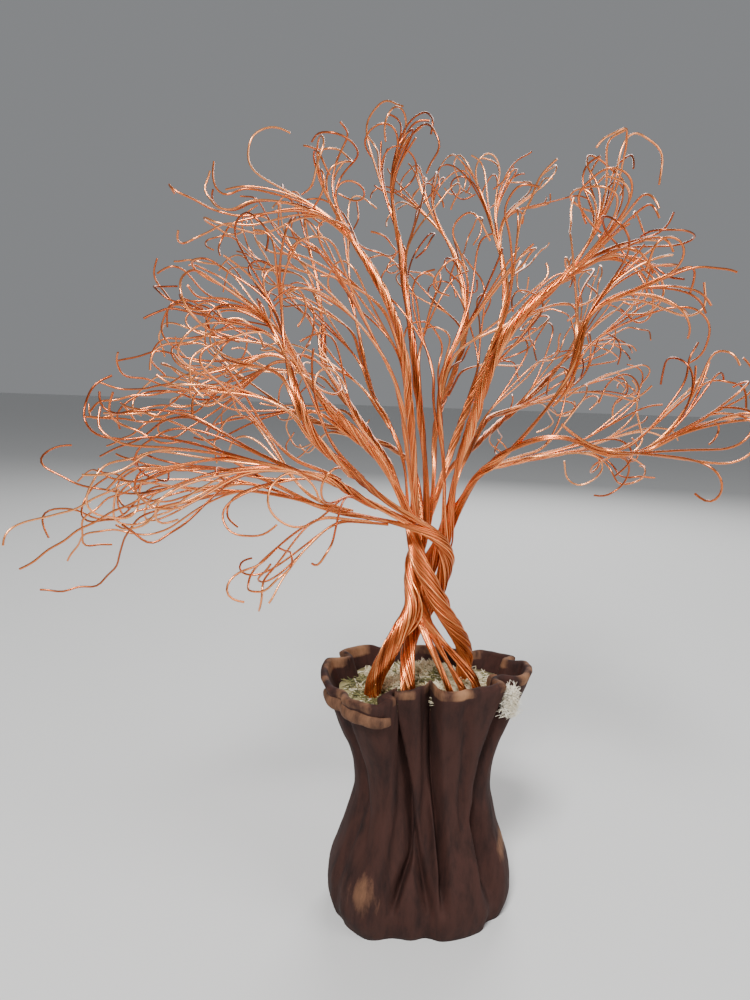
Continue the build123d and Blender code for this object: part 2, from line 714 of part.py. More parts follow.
# limbs
with BuildPart() as limb_low_left:
    add(tube("low_left"))
with BuildPart() as limb_left_reach:
    add(tube("left_reach"))
with BuildPart() as limb_left_sweep:
    add(tube("left_sweep"))
with BuildPart() as limb_left_rise:
    add(tube("left_rise"))
with BuildPart() as limb_crown_left:
    add(tube("crown_left"))
with BuildPart() as limb_left_back_rise:
    add(tube("left_back_rise"))
with BuildPart() as limb_thin_left:
    add(tube("thin_left"))
with BuildPart() as limb_upper_left_thin:
    add(tube("upper_left_thin"))
with BuildPart() as limb_crown_up:
    add(tube("crown_up"))
with BuildPart() as limb_back_centre:
    add(tube("back_centre"))
with BuildPart() as limb_back_left:
    add(tube("back_left"))
with BuildPart() as limb_back_right_up:
    add(tube("back_right_up"))
with BuildPart() as limb_back_right:
    add(tube("back_right"))
with BuildPart() as limb_crown_right:
    add(tube("crown_right"))
with BuildPart() as limb_crown_centre:
    add(tube("crown_centre"))
with BuildPart() as limb_right_reach:
    add(tube("right_reach"))
with BuildPart() as limb_right_low:
    add(tube("right_low"))
with BuildPart() as limb_right_back:
    add(tube("right_back"))
with BuildPart() as limb_right_reach_up:
    add(tube("right_reach_up"))
with BuildPart() as limb_right_reach_low:
    add(tube("right_reach_low"))
# the twigs the limbs fray into, by the part of the crown they fill
with BuildPart() as twigs_low_left:
    add(bundles(twigs_of("low_left")))
with BuildPart() as twigs_left:
    add(bundles(twigs_of("left")))
with BuildPart() as twigs_left_front:
    add(bundles(twigs_of("left_front")))
with BuildPart() as twigs_back_left:
    add(bundles(twigs_of("back_left")))
with BuildPart() as twigs_crown_left:
    add(bundles(twigs_of("crown_left")))
with BuildPart() as twigs_crown:
    add(bundles(twigs_of("crown")))
with BuildPart() as twigs_crown_back:
    add(bundles(twigs_of("crown_back")))
with BuildPart() as twigs_crown_right:
    add(bundles(twigs_of("crown_right")))
with BuildPart() as twigs_right:
    add(bundles(twigs_of("right")))
with BuildPart() as twigs_low_right:
    add(bundles(twigs_of("low_right")))
with BuildPart() as twigs_back_right:
    add(bundles(twigs_of("back_right")))
# the loose ends of the wires
with BuildPart() as tips_low_left:
    add(bundles(wires_of("low_left")))
with BuildPart() as tips_left:
    add(bundles(wires_of("left")))
with BuildPart() as tips_left_front:
    add(bundles(wires_of("left_front")))
with BuildPart() as tips_back_left:
    add(bundles(wires_of("back_left")))
with BuildPart() as tips_crown_left:
    add(bundles(wires_of("crown_left")))
with BuildPart() as tips_crown:
    add(bundles(wires_of("crown")))
with BuildPart() as tips_crown_back:
    add(bundles(wires_of("crown_back")))
with BuildPart() as tips_crown_right:
    add(bundles(wires_of("crown_right")))
with BuildPart() as tips_right:
    add(bundles(wires_of("right")))
with BuildPart() as tips_low_right:
    add(bundles(wires_of("low_right")))
with BuildPart() as tips_back_right:
    add(bundles(wires_of("back_right")))

# ---- files ----
pot_wall.part.label = "pot_wall"
pot_floor.part.label = "pot_floor"
pot_filler.part.label = "pot_filler"
moss_bed.part.label = "moss_bed"
moss_tuft_left.part.label = "moss_tuft_left"
moss_tuft_centre.part.label = "moss_tuft_centre"
moss_tuft_back.part.label = "moss_tuft_back"
rim_hem.part.label = "rim_hem"
rim_curl.part.label = "rim_curl"
fibre_tuft.part.label = "fibre_tuft"
strand_left.part.label = "strand_left"
strand_centre.part.label = "strand_centre"
strand_right.part.label = "strand_right"
strand_back.part.label = "strand_back"
right_roots.part.label = "right_roots"
limb_low_left.part.label = "limb_low_left"
limb_left_reach.part.label = "limb_left_reach"
limb_left_sweep.part.label = "limb_left_sweep"
limb_left_rise.part.label = "limb_left_rise"
limb_crown_left.part.label = "limb_crown_left"
limb_left_back_rise.part.label = "limb_left_back_rise"
limb_thin_left.part.label = "limb_thin_left"
limb_upper_left_thin.part.label = "limb_upper_left_thin"
limb_crown_up.part.label = "limb_crown_up"
limb_back_centre.part.label = "limb_back_centre"
limb_back_left.part.label = "limb_back_left"
limb_back_right_up.part.label = "limb_back_right_up"
limb_back_right.part.label = "limb_back_right"
limb_crown_right.part.label = "limb_crown_right"
limb_crown_centre.part.label = "limb_crown_centre"
limb_right_reach.part.label = "limb_right_reach"
limb_right_low.part.label = "limb_right_low"
limb_right_back.part.label = "limb_right_back"
limb_right_reach_up.part.label = "limb_right_reach_up"
limb_right_reach_low.part.label = "limb_right_reach_low"
twigs_low_left.part.label = "twigs_low_left"
twigs_left.part.label = "twigs_left"
twigs_left_front.part.label = "twigs_left_front"
twigs_back_left.part.label = "twigs_back_left"
twigs_crown_left.part.label = "twigs_crown_left"
twigs_crown.part.label = "twigs_crown"
twigs_crown_back.part.label = "twigs_crown_back"
twigs_crown_right.part.label = "twigs_crown_right"
twigs_right.part.label = "twigs_right"
twigs_low_right.part.label = "twigs_low_right"
twigs_back_right.part.label = "twigs_back_right"
tips_low_left.part.label = "tips_low_left"
tips_left.part.label = "tips_left"
tips_left_front.part.label = "tips_left_front"
tips_back_left.part.label = "tips_back_left"
tips_crown_left.part.label = "tips_crown_left"
tips_crown.part.label = "tips_crown"
tips_crown_back.part.label = "tips_crown_back"
tips_crown_right.part.label = "tips_crown_right"
tips_right.part.label = "tips_right"
tips_low_right.part.label = "tips_low_right"
tips_back_right.part.label = "tips_back_right"
export_step(pot_wall.part, "parts/pot_wall.step")
export_step(pot_floor.part, "parts/pot_floor.step")
export_step(pot_filler.part, "parts/pot_filler.step")
export_step(moss_bed.part, "parts/moss_bed.step")
export_step(moss_tuft_left.part, "parts/moss_tuft_left.step")
export_step(moss_tuft_centre.part, "parts/moss_tuft_centre.step")
export_step(moss_tuft_back.part, "parts/moss_tuft_back.step")
export_step(rim_hem.part, "parts/rim_hem.step")
export_step(rim_curl.part, "parts/rim_curl.step")
export_step(fibre_tuft.part, "parts/fibre_tuft.step")
export_step(strand_left.part, "parts/strand_left.step")
export_step(strand_centre.part, "parts/strand_centre.step")
export_step(strand_right.part, "parts/strand_right.step")
export_step(strand_back.part, "parts/strand_back.step")
export_step(right_roots.part, "parts/right_roots.step")
export_step(limb_low_left.part, "parts/limb_low_left.step")
export_step(limb_left_reach.part, "parts/limb_left_reach.step")
export_step(limb_left_sweep.part, "parts/limb_left_sweep.step")
export_step(limb_left_rise.part, "parts/limb_left_rise.step")
export_step(limb_crown_left.part, "parts/limb_crown_left.step")
export_step(limb_left_back_rise.part, "parts/limb_left_back_rise.step")
export_step(limb_thin_left.part, "parts/limb_thin_left.step")
export_step(limb_upper_left_thin.part, "parts/limb_upper_left_thin.step")
export_step(limb_crown_up.part, "parts/limb_crown_up.step")
export_step(limb_back_centre.part, "parts/limb_back_centre.step")
export_step(limb_back_left.part, "parts/limb_back_left.step")
export_step(limb_back_right_up.part, "parts/limb_back_right_up.step")
export_step(limb_back_right.part, "parts/limb_back_right.step")
export_step(limb_crown_right.part, "parts/limb_crown_right.step")
export_step(limb_crown_centre.part, "parts/limb_crown_centre.step")
export_step(limb_right_reach.part, "parts/limb_right_reach.step")
export_step(limb_right_low.part, "parts/limb_right_low.step")
export_step(limb_right_back.part, "parts/limb_right_back.step")
export_step(limb_right_reach_up.part, "parts/limb_right_reach_up.step")
export_step(limb_right_reach_low.part, "parts/limb_right_reach_low.step")
export_step(twigs_low_left.part, "parts/twigs_low_left.step")
export_step(twigs_left.part, "parts/twigs_left.step")
export_step(twigs_left_front.part, "parts/twigs_left_front.step")
export_step(twigs_back_left.part, "parts/twigs_back_left.step")
export_step(twigs_crown_left.part, "parts/twigs_crown_left.step")
export_step(twigs_crown.part, "parts/twigs_crown.step")
export_step(twigs_crown_back.part, "parts/twigs_crown_back.step")
export_step(twigs_crown_right.part, "parts/twigs_crown_right.step")
export_step(twigs_right.part, "parts/twigs_right.step")
export_step(twigs_low_right.part, "parts/twigs_low_right.step")
export_step(twigs_back_right.part, "parts/twigs_back_right.step")
export_step(tips_low_left.part, "parts/tips_low_left.step")
export_step(tips_left.part, "parts/tips_left.step")
export_step(tips_left_front.part, "parts/tips_left_front.step")
export_step(tips_back_left.part, "parts/tips_back_left.step")
export_step(tips_crown_left.part, "parts/tips_crown_left.step")
export_step(tips_crown.part, "parts/tips_crown.step")
export_step(tips_crown_back.part, "parts/tips_crown_back.step")
export_step(tips_crown_right.part, "parts/tips_crown_right.step")
export_step(tips_right.part, "parts/tips_right.step")
export_step(tips_low_right.part, "parts/tips_low_right.step")
export_step(tips_back_right.part, "parts/tips_back_right.step")
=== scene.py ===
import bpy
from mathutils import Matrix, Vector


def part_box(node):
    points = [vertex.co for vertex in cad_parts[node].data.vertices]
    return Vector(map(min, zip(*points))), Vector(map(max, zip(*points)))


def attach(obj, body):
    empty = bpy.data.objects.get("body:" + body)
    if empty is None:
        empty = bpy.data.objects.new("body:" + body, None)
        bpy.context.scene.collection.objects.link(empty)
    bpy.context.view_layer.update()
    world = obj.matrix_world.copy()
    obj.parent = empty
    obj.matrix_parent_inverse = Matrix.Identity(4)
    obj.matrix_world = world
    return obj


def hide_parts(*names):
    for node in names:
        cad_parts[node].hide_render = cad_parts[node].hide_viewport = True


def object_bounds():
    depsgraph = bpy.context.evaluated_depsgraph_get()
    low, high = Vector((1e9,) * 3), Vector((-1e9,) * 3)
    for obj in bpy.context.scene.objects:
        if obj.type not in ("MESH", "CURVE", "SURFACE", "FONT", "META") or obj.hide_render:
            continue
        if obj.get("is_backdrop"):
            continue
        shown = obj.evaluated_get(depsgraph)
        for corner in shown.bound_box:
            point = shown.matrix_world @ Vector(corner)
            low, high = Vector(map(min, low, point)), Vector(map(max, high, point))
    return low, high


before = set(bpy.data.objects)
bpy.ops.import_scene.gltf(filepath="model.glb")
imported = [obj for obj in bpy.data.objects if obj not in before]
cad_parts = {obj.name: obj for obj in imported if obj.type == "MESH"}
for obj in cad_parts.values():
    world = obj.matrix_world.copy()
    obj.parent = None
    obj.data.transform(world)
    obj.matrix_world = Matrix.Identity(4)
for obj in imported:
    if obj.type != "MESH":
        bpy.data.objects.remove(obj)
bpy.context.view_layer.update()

import itertools
import math
import random

import bpy
import numpy as np
from mathutils import Matrix, Vector, noise

# A tree twisted from bare copper wire in a pleated clay pot. Lengths in the lists below are
# millimetres, as in the CAD; meshes are made in metres, in the CAD's frame.
MM = 0.001

# ---- driving dimensions ----
WIRE = 0.6            # diameter of one copper wire
FILL = 0.82           # share of a twisted bundle's section that is metal
GAP = 0.30            # air left between bundles that leave the same fork
POT_H = 74.0          # height of the pot's rim
FLOOR_T = 3.2         # thickness of the slab under the pot
FILLER_TOP = 65.0     # top of the plaster that grips the roots
MOSS_TOP = 70.0       # top of the moss bed
ROOT_END = 61.0       # how far down the roots reach into the plaster


def bundle_radius(wires):
    return 0.5 * WIRE * math.sqrt(wires / FILL) if wires > 1 else 0.5 * WIRE


# ---- small vector helpers ----
def plus(a, b, k=1.0):
    return (a[0] + k * b[0], a[1] + k * b[1], a[2] + k * b[2])


def minus(a, b):
    return (a[0] - b[0], a[1] - b[1], a[2] - b[2])


def dot(a, b):
    return a[0] * b[0] + a[1] * b[1] + a[2] * b[2]


def cross(a, b):
    return (a[1] * b[2] - a[2] * b[1], a[2] * b[0] - a[0] * b[2], a[0] * b[1] - a[1] * b[0])


def length(a):
    return math.sqrt(dot(a, a))


def unit(a):
    n = length(a)
    return (a[0] / n, a[1] / n, a[2] / n)


def frame_of(t):
    u = cross(t, (0.0, 0.0, 1.0))
    if length(u) < 0.05:
        u = cross(t, (0.0, 1.0, 0.0))
    u = unit(u)
    return u, cross(t, u)


# ---- the pot's pleated outline ----
# A pleat is its place round the rim in degrees from +X, its half width in degrees, how
# far the slab turns there at the rim, and whether it laps over itself or makes a groove.
PLEATS = [
    (243, 15, 132, "lap"),
    (272, 13, 112, "groove"),
    (323, 13, 96, "groove"),
    (20, 11, 92, "groove"),
    (62, 11, 70, "groove"),
    (116, 11, 88, "groove"),
    (154, 12, 96, "groove"),
    (207, 9, 46, "groove"),
]
# height, width, depth, and the share of the rim's folding left at that height
POT_LEVELS = [
    (0, 54, 44, 0.36),
    (5, 58, 48, 0.42),
    (13, 57.5, 48, 0.52),
    (25, 50, 42, 0.66),
    (38, 45, 37, 0.78),
    (52, 48.5, 40, 0.86),
    (64, 57, 47, 0.94),
    (POT_H, 66, 54, 1.0),
]
WALL = 2.4            # thickness of the clay slab


def outline(width, depth, fold):
    """The outside of the pot at one height, as a closed run of points."""
    steps = 720
    x = y = 0.0
    pts = []
    for i in range(steps):
        s = i * 360.0 / steps
        heading = s + 90.0
        for place, half, turn, kind in PLEATS:
            d = (s - place + 180.0) % 360.0 - 180.0
            if abs(d) >= half:
                continue
            if kind == "lap":
                heading += turn * fold * math.cos(0.5 * math.pi * d / half) ** 2
            else:
                swing = 0.5 + 0.5 * math.cos(0.5 * math.pi * d / half) ** 2
                heading -= turn * fold * swing * math.sin(math.pi * d / half)
        x += math.cos(math.radians(heading))
        y += math.sin(math.radians(heading))
        pts.append((x, y))
    pts = [(p[0] - x * (i + 1) / steps, p[1] - y * (i + 1) / steps) for i, p in enumerate(pts)]
    xs = [p[0] for p in pts]
    ys = [p[1] for p in pts]
    cx, cy = 0.5 * (max(xs) + min(xs)), 0.5 * (max(ys) + min(ys))
    kx, ky = width / (max(xs) - min(xs)), depth / (max(ys) - min(ys))
    return [((px - cx) * kx, (py - cy) * ky) for px, py in pts]


def inside_of(pts, wall):
    """The inside of the slab: each point moved in square to it, with tight bends eased."""
    pts = np.array(pts)
    n = len(pts)
    step = np.roll(pts, -2, axis=0) - np.roll(pts, 2, axis=0)
    step /= np.linalg.norm(step, axis=1)[:, None]
    moved = pts + wall * np.stack([-step[:, 1], step[:, 0]], axis=1)
    gap = np.linalg.norm(moved[:, None] - pts[None, ::2], axis=2).min(axis=1)
    good = np.nonzero(gap > abs(wall) - 0.04)[0]
    places = np.concatenate([good - n, good, good + n])
    out = np.stack([np.interp(np.arange(n), places, np.tile(moved[good, i], 3)) for i in (0, 1)], axis=1)
    for reach in (8, 8, 3):
        out = sum(np.roll(out, j, axis=0) for j in range(-reach, reach + 1)) / (2 * reach + 1)
        away = np.linalg.norm(out[:, None] - pts[None], axis=2)
        near = pts[away.argmin(axis=1)]
        least = away.min(axis=1)
        short = least < 0.9 * abs(wall)
        out[short] = near[short] + (out[short] - near[short]) * (0.9 * abs(wall) / least[short])[:, None]
    return out


# ---- the wire tree ----
# Each route starts where its bundle starts and runs through the points given.
ROOT_LEFT = [(-16.5, -8.2, ROOT_END), (-17.4, -8.8, 71), (-14, -8.7, 80), (-9.4, -7.6, 89), (-5, -5, 96)]
ROOT_CENTRE = [(-5.5, -10.5, ROOT_END), (-6, -12, 71), (-7, -8.5, 79), (-6.2, -2, 84)]
ROOT_BACK = [(11.5, 9, ROOT_END), (12.5, 8.5, 71), (12, 4.5, 81), (7.6, 0, 89), (2.6, -3, 96)]

STRANDS = {
    # name: wires, route
    "strand_left": (66, ROOT_LEFT + [(-6.4, -0.6, 104), (-5, 3.4, 112), (-1.6, 5.8, 120), (-0.6, 6, 130)]),
    "strand_centre": (49, ROOT_CENTRE + [
        (-3.2, 4.4, 89), (1.2, 4.8, 95.5), (3.8, 2, 103.5), (4.9, -2, 112), (0.3, -6.6, 119), (-6, -8.8, 122.5),
        (-12, -10, 124)]),
    "strand_right": (75, [(1.8, -8.4, 84), (-0.6, -5.8, 88), (-2.7, -1.4, 92), (-4.4, 2.6, 97.5),
                          (-2.2, 5, 104),
                          (1.2, 5.8, 110), (4.4, 3.4, 117), (5, -0.6, 124), (5, -1.4, 130)]),
    "strand_back": (66, ROOT_BACK + [(-1, -4.8, 104), (-5.4, -3.6, 112), (-7, 0, 120), (-7.6, 1.5, 129)]),
}
RIGHT_ROOTS = [
    [(6.8, -9, ROOT_END), (7.6, -11.6, 71), (4.6, -12.4, 76.5)],
    [(10.6, -7.8, ROOT_END), (11.8, -8.8, 71), (8.4, -9.4, 77)],
    [(14, -5.6, ROOT_END), (15.8, -5.6, 71), (11.4, -4.6, 80.5)],
]

# Limbs: wires, and the points after the fork.
LIMBS = {
    "strand_centre": {
        "low_left": (15, [(-33, -15, 126), (-44, -15, 131)]),
        "left_reach": (18, [(-21, -14, 128.5), (-28, -24, 135), (-38, -30, 138), (-47, -32, 140)]),
        "left_sweep": (16, [(-17.5, -18, 132), (-26, -29, 139), (-35, -35, 148), (-38, -34, 157),
                            (-42, -28, 166), (-44, -20, 174)]),
    },
    "strand_back": {
        "left_rise": (24, [(-22, -5, 145), (-31, -8, 153), (-38, -6, 161), (-43, 0, 170)]),
        "crown_left": (18, [(-9, -5, 154), (-11, -8, 171), (-16, -6, 185), (-24, -2, 198), (-33, 2, 210)]),
        "left_back_rise": (12, [(-20, 20, 145), (-29, 34, 157), (-38, 44, 168), (-38, 50, 181),
                                (-41, 52, 196)]),
        "thin_left": (6, [(-14, 10, 150), (-19, 18, 156), (-23, 28, 168), (-26, 36, 182), (-29, 40, 193)]),
        "upper_left_thin": (6, [(-12, -12, 160), (-18, -16, 171), (-23, -16, 178)]),
    },
    "strand_left": {
        "crown_up": (14, [(-4.5, 2.5, 148), (-6.5, 1.5, 160), (-9, 5, 178), (-12, 10, 194), (-13, 12, 206),
                          (-18, 14, 218)]),
        "back_centre": (12, [(0, 18, 150), (6, 38, 162), (14, 58, 183), (12, 66, 202), (7, 70, 217),
                             (-1, 72, 226)]),
        "back_left": (10, [(-12, 24, 142), (-27, 42, 145), (-46, 60, 149), (-63, 72, 158)]),
        "back_right_up": (18, [(9, 20, 152), (20, 38, 174), (26, 48, 191), (25, 54, 207), (21, 58, 220)]),
        "back_right": (12, [(14, 24, 143), (24, 42, 150), (43, 66, 163), (58, 80, 179)]),
    },
    "strand_right": {
        "crown_right": (25, [(8, -5, 146), (12, -8, 164), (17, -10, 177), (26, -10, 187), (34, -10, 194),
                             (39, -10, 200)]),
        "crown_centre": (8, [(0, -5, 150), (-1, -5, 162), (2, -4, 172), (7, -2, 180)]),
        "right_reach": (20, [(13, -14, 139), (21, -22, 148), (25, -24, 153)]),
        "right_low": (12, [(12, 1, 137), (21, 6, 139), (35, 15, 141), (53, 24, 144)]),
        "right_back": (10, [(12, 14, 144), (18, 28, 153), (29, 40, 155), (41, 48, 160), (54, 54, 163)]),
    },
}
SUB_LIMBS = {
    "right_reach": {
        "right_reach_up": (10, [(30, -25, 160), (32, -26, 167), (33, -26, 174), (33, -26, 180), (36, -25, 185),
                                (40, -24, 188)]),
        "right_reach_low": (10, [(31, -24, 151), (38, -24, 146), (46, -24, 144), (55, -23, 146),
                                 (63, -22, 152)]),
    },
}
# Where each limb frays: wires in the twig, the twig's end, and the point its wires reach for.
TWIGS = {
    "low_left": [(5, (-61, -12, 133), (-109, -8, 117)), (5, (-65, -18, 129), (-115, -20, 110)),
                 (5, (-58, -20, 139), (-91, -24, 144))],
    "left_reach": [(5, (-57, -40, 136), (-74, -48, 123)), (5, (-61, -36, 143), (-94, -42, 138)),
                   (4, (-57, -31, 148), (-102, -30, 146)), (4, (-56, -28, 139), (-109, -32, 122))],
    "left_sweep": [(5, (-52, -24, 181), (-71, -30, 184)), (4, (-51, -14, 187), (-64, -10, 196)),
                   (4, (-52, -28, 174), (-78, -36, 169)), (3, (-45, -26, 186), (-41, -30, 197))],
    "left_rise": [(6, (-58, -4, 165), (-105, -8, 159)), (6, (-61, 4, 173), (-95, 8, 185)),
                  (6, (-56, 10, 181), (-90, 16, 199)), (6, (-57, 6, 160), (-113, 2, 148))],
    "left_back_rise": [(4, (-52, 56, 209), (-62, 60, 224)), (4, (-47, 60, 213), (-50, 68, 233)),
                       (4, (-57, 62, 203), (-82, 72, 215))],
    "thin_left": [(3, (-36, 44, 206), (-51, 50, 217)), (3, (-31, 46, 210), (-32, 52, 229))],
    "upper_left_thin": [(3, (-31, -21, 183), (-41, -28, 189)), (3, (-28, -18, 188), (-33, -24, 198))],
    "crown_left": [(5, (-44, 5, 215), (-74, 6, 213)), (5, (-39, 0, 220), (-37, -6, 225)),
                   (4, (-43, -5, 209), (-77, -10, 199)), (4, (-35, 7, 222), (-27, 8, 228))],
    "crown_up": [(5, (-17, 14, 228), (-9, 12, 238)), (5, (-21, 18, 227), (-20, 24, 236)),
                 (4, (-15, 10, 226), (-12, 5, 233))],
    "crown_centre": [(4, (13, -4, 189), (20, -8, 202)), (4, (8, 2, 191), (3, 4, 207))],
    "crown_right": [(5, (43, -9, 210), (41, -12, 227)), (5, (46, -14, 206), (48, -20, 214)),
                    (5, (50, -8, 203), (58, -6, 202)), (5, (43, -3, 211), (37, 6, 226)),
                    (5, (48, -15, 199), (56, -22, 187))],
    "back_right_up": [(6, (17, 58, 232), (6, 60, 247)), (6, (23, 62, 233), (27, 64, 243)),
                      (6, (30, 62, 229), (45, 72, 237))],
    "back_centre": [(4, (-5, 74, 237), (-7, 80, 250)), (4, (0, 79, 238), (7, 86, 254)),
                    (4, (-9, 77, 234), (-20, 88, 243))],
    "right_reach_up": [(5, (46, -23, 194), (50, -28, 197)), (5, (49, -25, 188), (63, -28, 180))],
    "right_reach_low": [(5, (67, -22, 161), (69, -22, 171)), (5, (71, -20, 156), (79, -18, 158))],
    "right_low": [(4, (64, 29, 149), (78, 34, 153)), (4, (63, 31, 143), (75, 36, 137)),
                  (4, (61, 25, 141), (53, 20, 131))],
    "right_back": [(4, (64, 57, 169), (78, 64, 170)), (3, (61, 61, 171), (62, 68, 182)),
                   (3, (66, 62, 163), (84, 70, 160))],
    "back_left": [(5, (-76, 80, 166), (-96, 90, 176)), (5, (-75, 82, 158), (-93, 94, 147))],
    "back_right": [(4, (66, 84, 190), (79, 90, 202)), (4, (70, 86, 184), (91, 94, 184)),
                   (4, (63, 88, 192), (67, 97, 206))],
}
# The parts of the crown, each with the limbs that fray into it.
CROWN = {
    "low_left": ["low_left", "left_reach"],
    "left": ["left_rise"],
    "left_front": ["left_sweep", "upper_left_thin"],
    "back_left": ["back_left", "left_back_rise", "thin_left"],
    "crown_left": ["crown_left"],
    "crown": ["crown_up", "crown_centre"],
    "crown_back": ["back_right_up", "back_centre"],
    "crown_right": ["crown_right"],
    "right": ["right_reach_up", "right_reach_low"],
    "low_right": ["right_low", "right_back"],
    "back_right": ["back_right"],
}
HOOKED = 0.40         # share of wires that end in a hook
LOOPED = 0.35         # share of wires that swing round in a wide loop
# Side shoots: a few wires that leave a limb part of the way along it.
SHOOT_WIRES = 3
SHOOT_PLACES = (0.45, 0.62, 0.80)
SHOOT_LIMBS = ["low_left", "left_reach", "left_sweep", "left_rise", "left_back_rise", "crown_left", "crown_up",
               "crown_right", "back_right_up", "back_centre", "right_reach_low", "right_reach_up", "right_low",
               "right_back", "back_left", "back_right", "thin_left", "crown_centre"]
dice = random.Random(11)


def ring(radii):
    """Places round a ring, and its radius, for discs that just clear their neighbours."""
    n = len(radii)
    if n == 1:
        return 0.0, [0.0]
    if n == 2:
        return 0.5 * (radii[0] + radii[1] + GAP), [0.0, math.pi]
    pair = [radii[i] + radii[(i + 1) % n] + GAP for i in range(n)]
    low, high = 0.5 * max(pair) + 1e-6, 20.0
    for _ in range(50):
        mid = 0.5 * (low + high)
        if sum(2 * math.asin(p / (2 * mid)) for p in pair) > 2 * math.pi:
            low = mid
        else:
            high = mid
    places = [0.0]
    for p in pair[:-1]:
        places.append(places[-1] + 2 * math.asin(p / (2 * high)))
    return high, places


def nearest(a, b, reach=16.0, step=1.6):
    """The least distance between the first stretches of two routes."""
    pa = [p for p, run in samples(a, step) if run < reach]
    pb = [p for p, run in samples(b, step) if run < reach]
    return min(length(minus(p, q)) for p in pa for q in pb)


def fork(point, tangent, radii, aims, lead=3.0):
    """Start points on the end face of a bundle: discs in a ring, in the order and at the
    turn that leave the most air between the bundles as they part."""
    n = len(radii)
    u, v = frame_of(tangent)
    best = None
    orders = [(0,) + p for p in itertools.permutations(range(1, n))]
    for order in orders:
        rad, places = ring([radii[i] for i in order])
        for k in range(18):
            turn = k * math.pi / 9
            starts = [None] * n
            for i, a in zip(order, places):
                x, y = rad * math.cos(a + turn), rad * math.sin(a + turn)
                starts[i] = plus(plus(point, u, x), v, y)
            ways = [[s, plus(s, tangent, lead), a] for s, a in zip(starts, aims)]
            air = 9.0
            for i in range(n):
                for j in range(i):
                    air = min(air, nearest(ways[i], ways[j]) - radii[i] - radii[j])
            short = sum(length(minus(w[1], w[2])) for w in ways)
            score = min(air, 0.05) * 1000.0 - short
            if best is None or score > best[0]:
                best = (score, starts)
    return best[1]


def spread(point, tangent, count, aims):
    """Start points for single wires on the end face of a twig, in the order of their aims."""
    u, v = frame_of(tangent)
    rad, places = ring([0.5 * WIRE + 0.04] * count)
    side = [math.atan2(dot(minus(a, point), v), dot(minus(a, point), u)) for a in aims]
    order = sorted(range(count), key=lambda i: side[i])
    sx = sum(math.cos(side[i] - a) for i, a in zip(order, places))
    sy = sum(math.sin(side[i] - a) for i, a in zip(order, places))
    turn = math.atan2(sy, sx)
    starts = [None] * count
    for i, a in zip(order, places):
        starts[i] = plus(plus(point, u, rad * math.cos(a + turn)), v, rad * math.sin(a + turn))
    return starts


def bend_radius(route, wanted):
    """The largest bend, up to the one wanted, that fits every corner of the route."""
    best = wanted
    for a, b, c in zip(route, route[1:], route[2:]):
        before, after = minus(b, a), minus(c, b)
        turn = math.acos(max(-1.0, min(1.0, dot(unit(before), unit(after)))))
        if turn > 0.02:
            best = min(best, 0.46 * min(length(before), length(after)) / math.tan(0.5 * turn))
    return best


# ---- clear air between bundles ----
CELL = 8.0
taken = {}


def samples(route, step=0.9):
    out = []
    run = 0.0
    for a, b in zip(route, route[1:]):
        d = length(minus(b, a))
        k = max(1, int(d / step))
        for i in range(k):
            out.append((plus(a, minus(b, a), i / k), run + d * i / k))
        run += d
    out.append((route[-1], run))
    return out


def occupy(name, route, radius):
    for p, _ in samples(route):
        key = (int(p[0] // CELL), int(p[1] // CELL), int(p[2] // CELL))
        taken.setdefault(key, []).append((p, radius, name))


def clash(route, radius, kin, air=0.25):
    """The worst shortfall in clear air, leaving out the kin near the fork they share."""
    worst = 0.0
    for p, run in samples(route):
        kx, ky, kz = int(p[0] // CELL), int(p[1] // CELL), int(p[2] // CELL)
        for ix in (kx - 1, kx, kx + 1):
            for iy in (ky - 1, ky, ky + 1):
                for iz in (kz - 1, kz, kz + 1):
                    for q, r, name in taken.get((ix, iy, iz), ()):
                        if name in kin and run < kin[name]:
                            continue
                        d = length(minus(p, q)) - r - radius - air
                        if d < worst:
                            worst = d
    return worst


ends = {}             # name of a bundle: its end point, end tangent and wires
routes = {}           # name of a bundle: radius, route and bend radius


def lay(name, wires, route, bend):
    radius = bundle_radius(wires)
    routes[name] = (radius, route, bend_radius(route, bend))
    ends[name] = (route[-1], unit(minus(route[-1], route[-2])), wires)
    occupy(name, route, radius)


for name, (wires, route) in STRANDS.items():
    lay(name, wires, route, 9.0)

first = STRANDS["strand_right"][1]
lead = unit(minus(first[1], first[0]))
joins = fork(first[0], minus((0, 0, 0), lead), [bundle_radius(25)] * 3, [r[-1] for r in RIGHT_ROOTS])
for i, (start, route) in enumerate(zip(joins, RIGHT_ROOTS)):
    lay("right_root_%d" % i, 25, route + [plus(start, lead, -3.0), start], 7.0)

for parents in (LIMBS, SUB_LIMBS):
    for parent, limbs in parents.items():
        point, tangent, wires = ends[parent]
        radii = [bundle_radius(w) for w, _ in limbs.values()]
        starts = fork(point, tangent, radii, [r[0] for _, r in limbs.values()])
        for (name, (w, route)), start in zip(limbs.items(), starts):
            lay(name, w, [start, plus(start, tangent, 3.0)] + route, 8.0)

for limb, twigs in TWIGS.items():
    point, tangent, wires = ends[limb]
    radii = [bundle_radius(w) for w, _, _ in twigs]
    starts = fork(point, tangent, radii, [e for _, e, _ in twigs], 2.2)
    for k, ((w, end, reach), start) in enumerate(zip(twigs, starts)):
        lead = plus(start, tangent, 2.2)
        chord = minus(end, lead)
        middle = plus(plus(lead, chord, 0.5), tangent, 0.12 * length(chord))
        lay("%s_twig_%d" % (limb, k), w, [start, lead, middle, end], 7.0)

# Loose ends: one wire each, fanned about the point their twig reaches for.
LOW_EDGE = (-134, -50, 98)
HIGH_EDGE = (92, 100, 249)


def inside(route):
    for p in route:
        for i in range(3):
            if p[i] < LOW_EDGE[i] + 0.5 or p[i] > HIGH_EDGE[i] - 0.5:
                return False
    return True



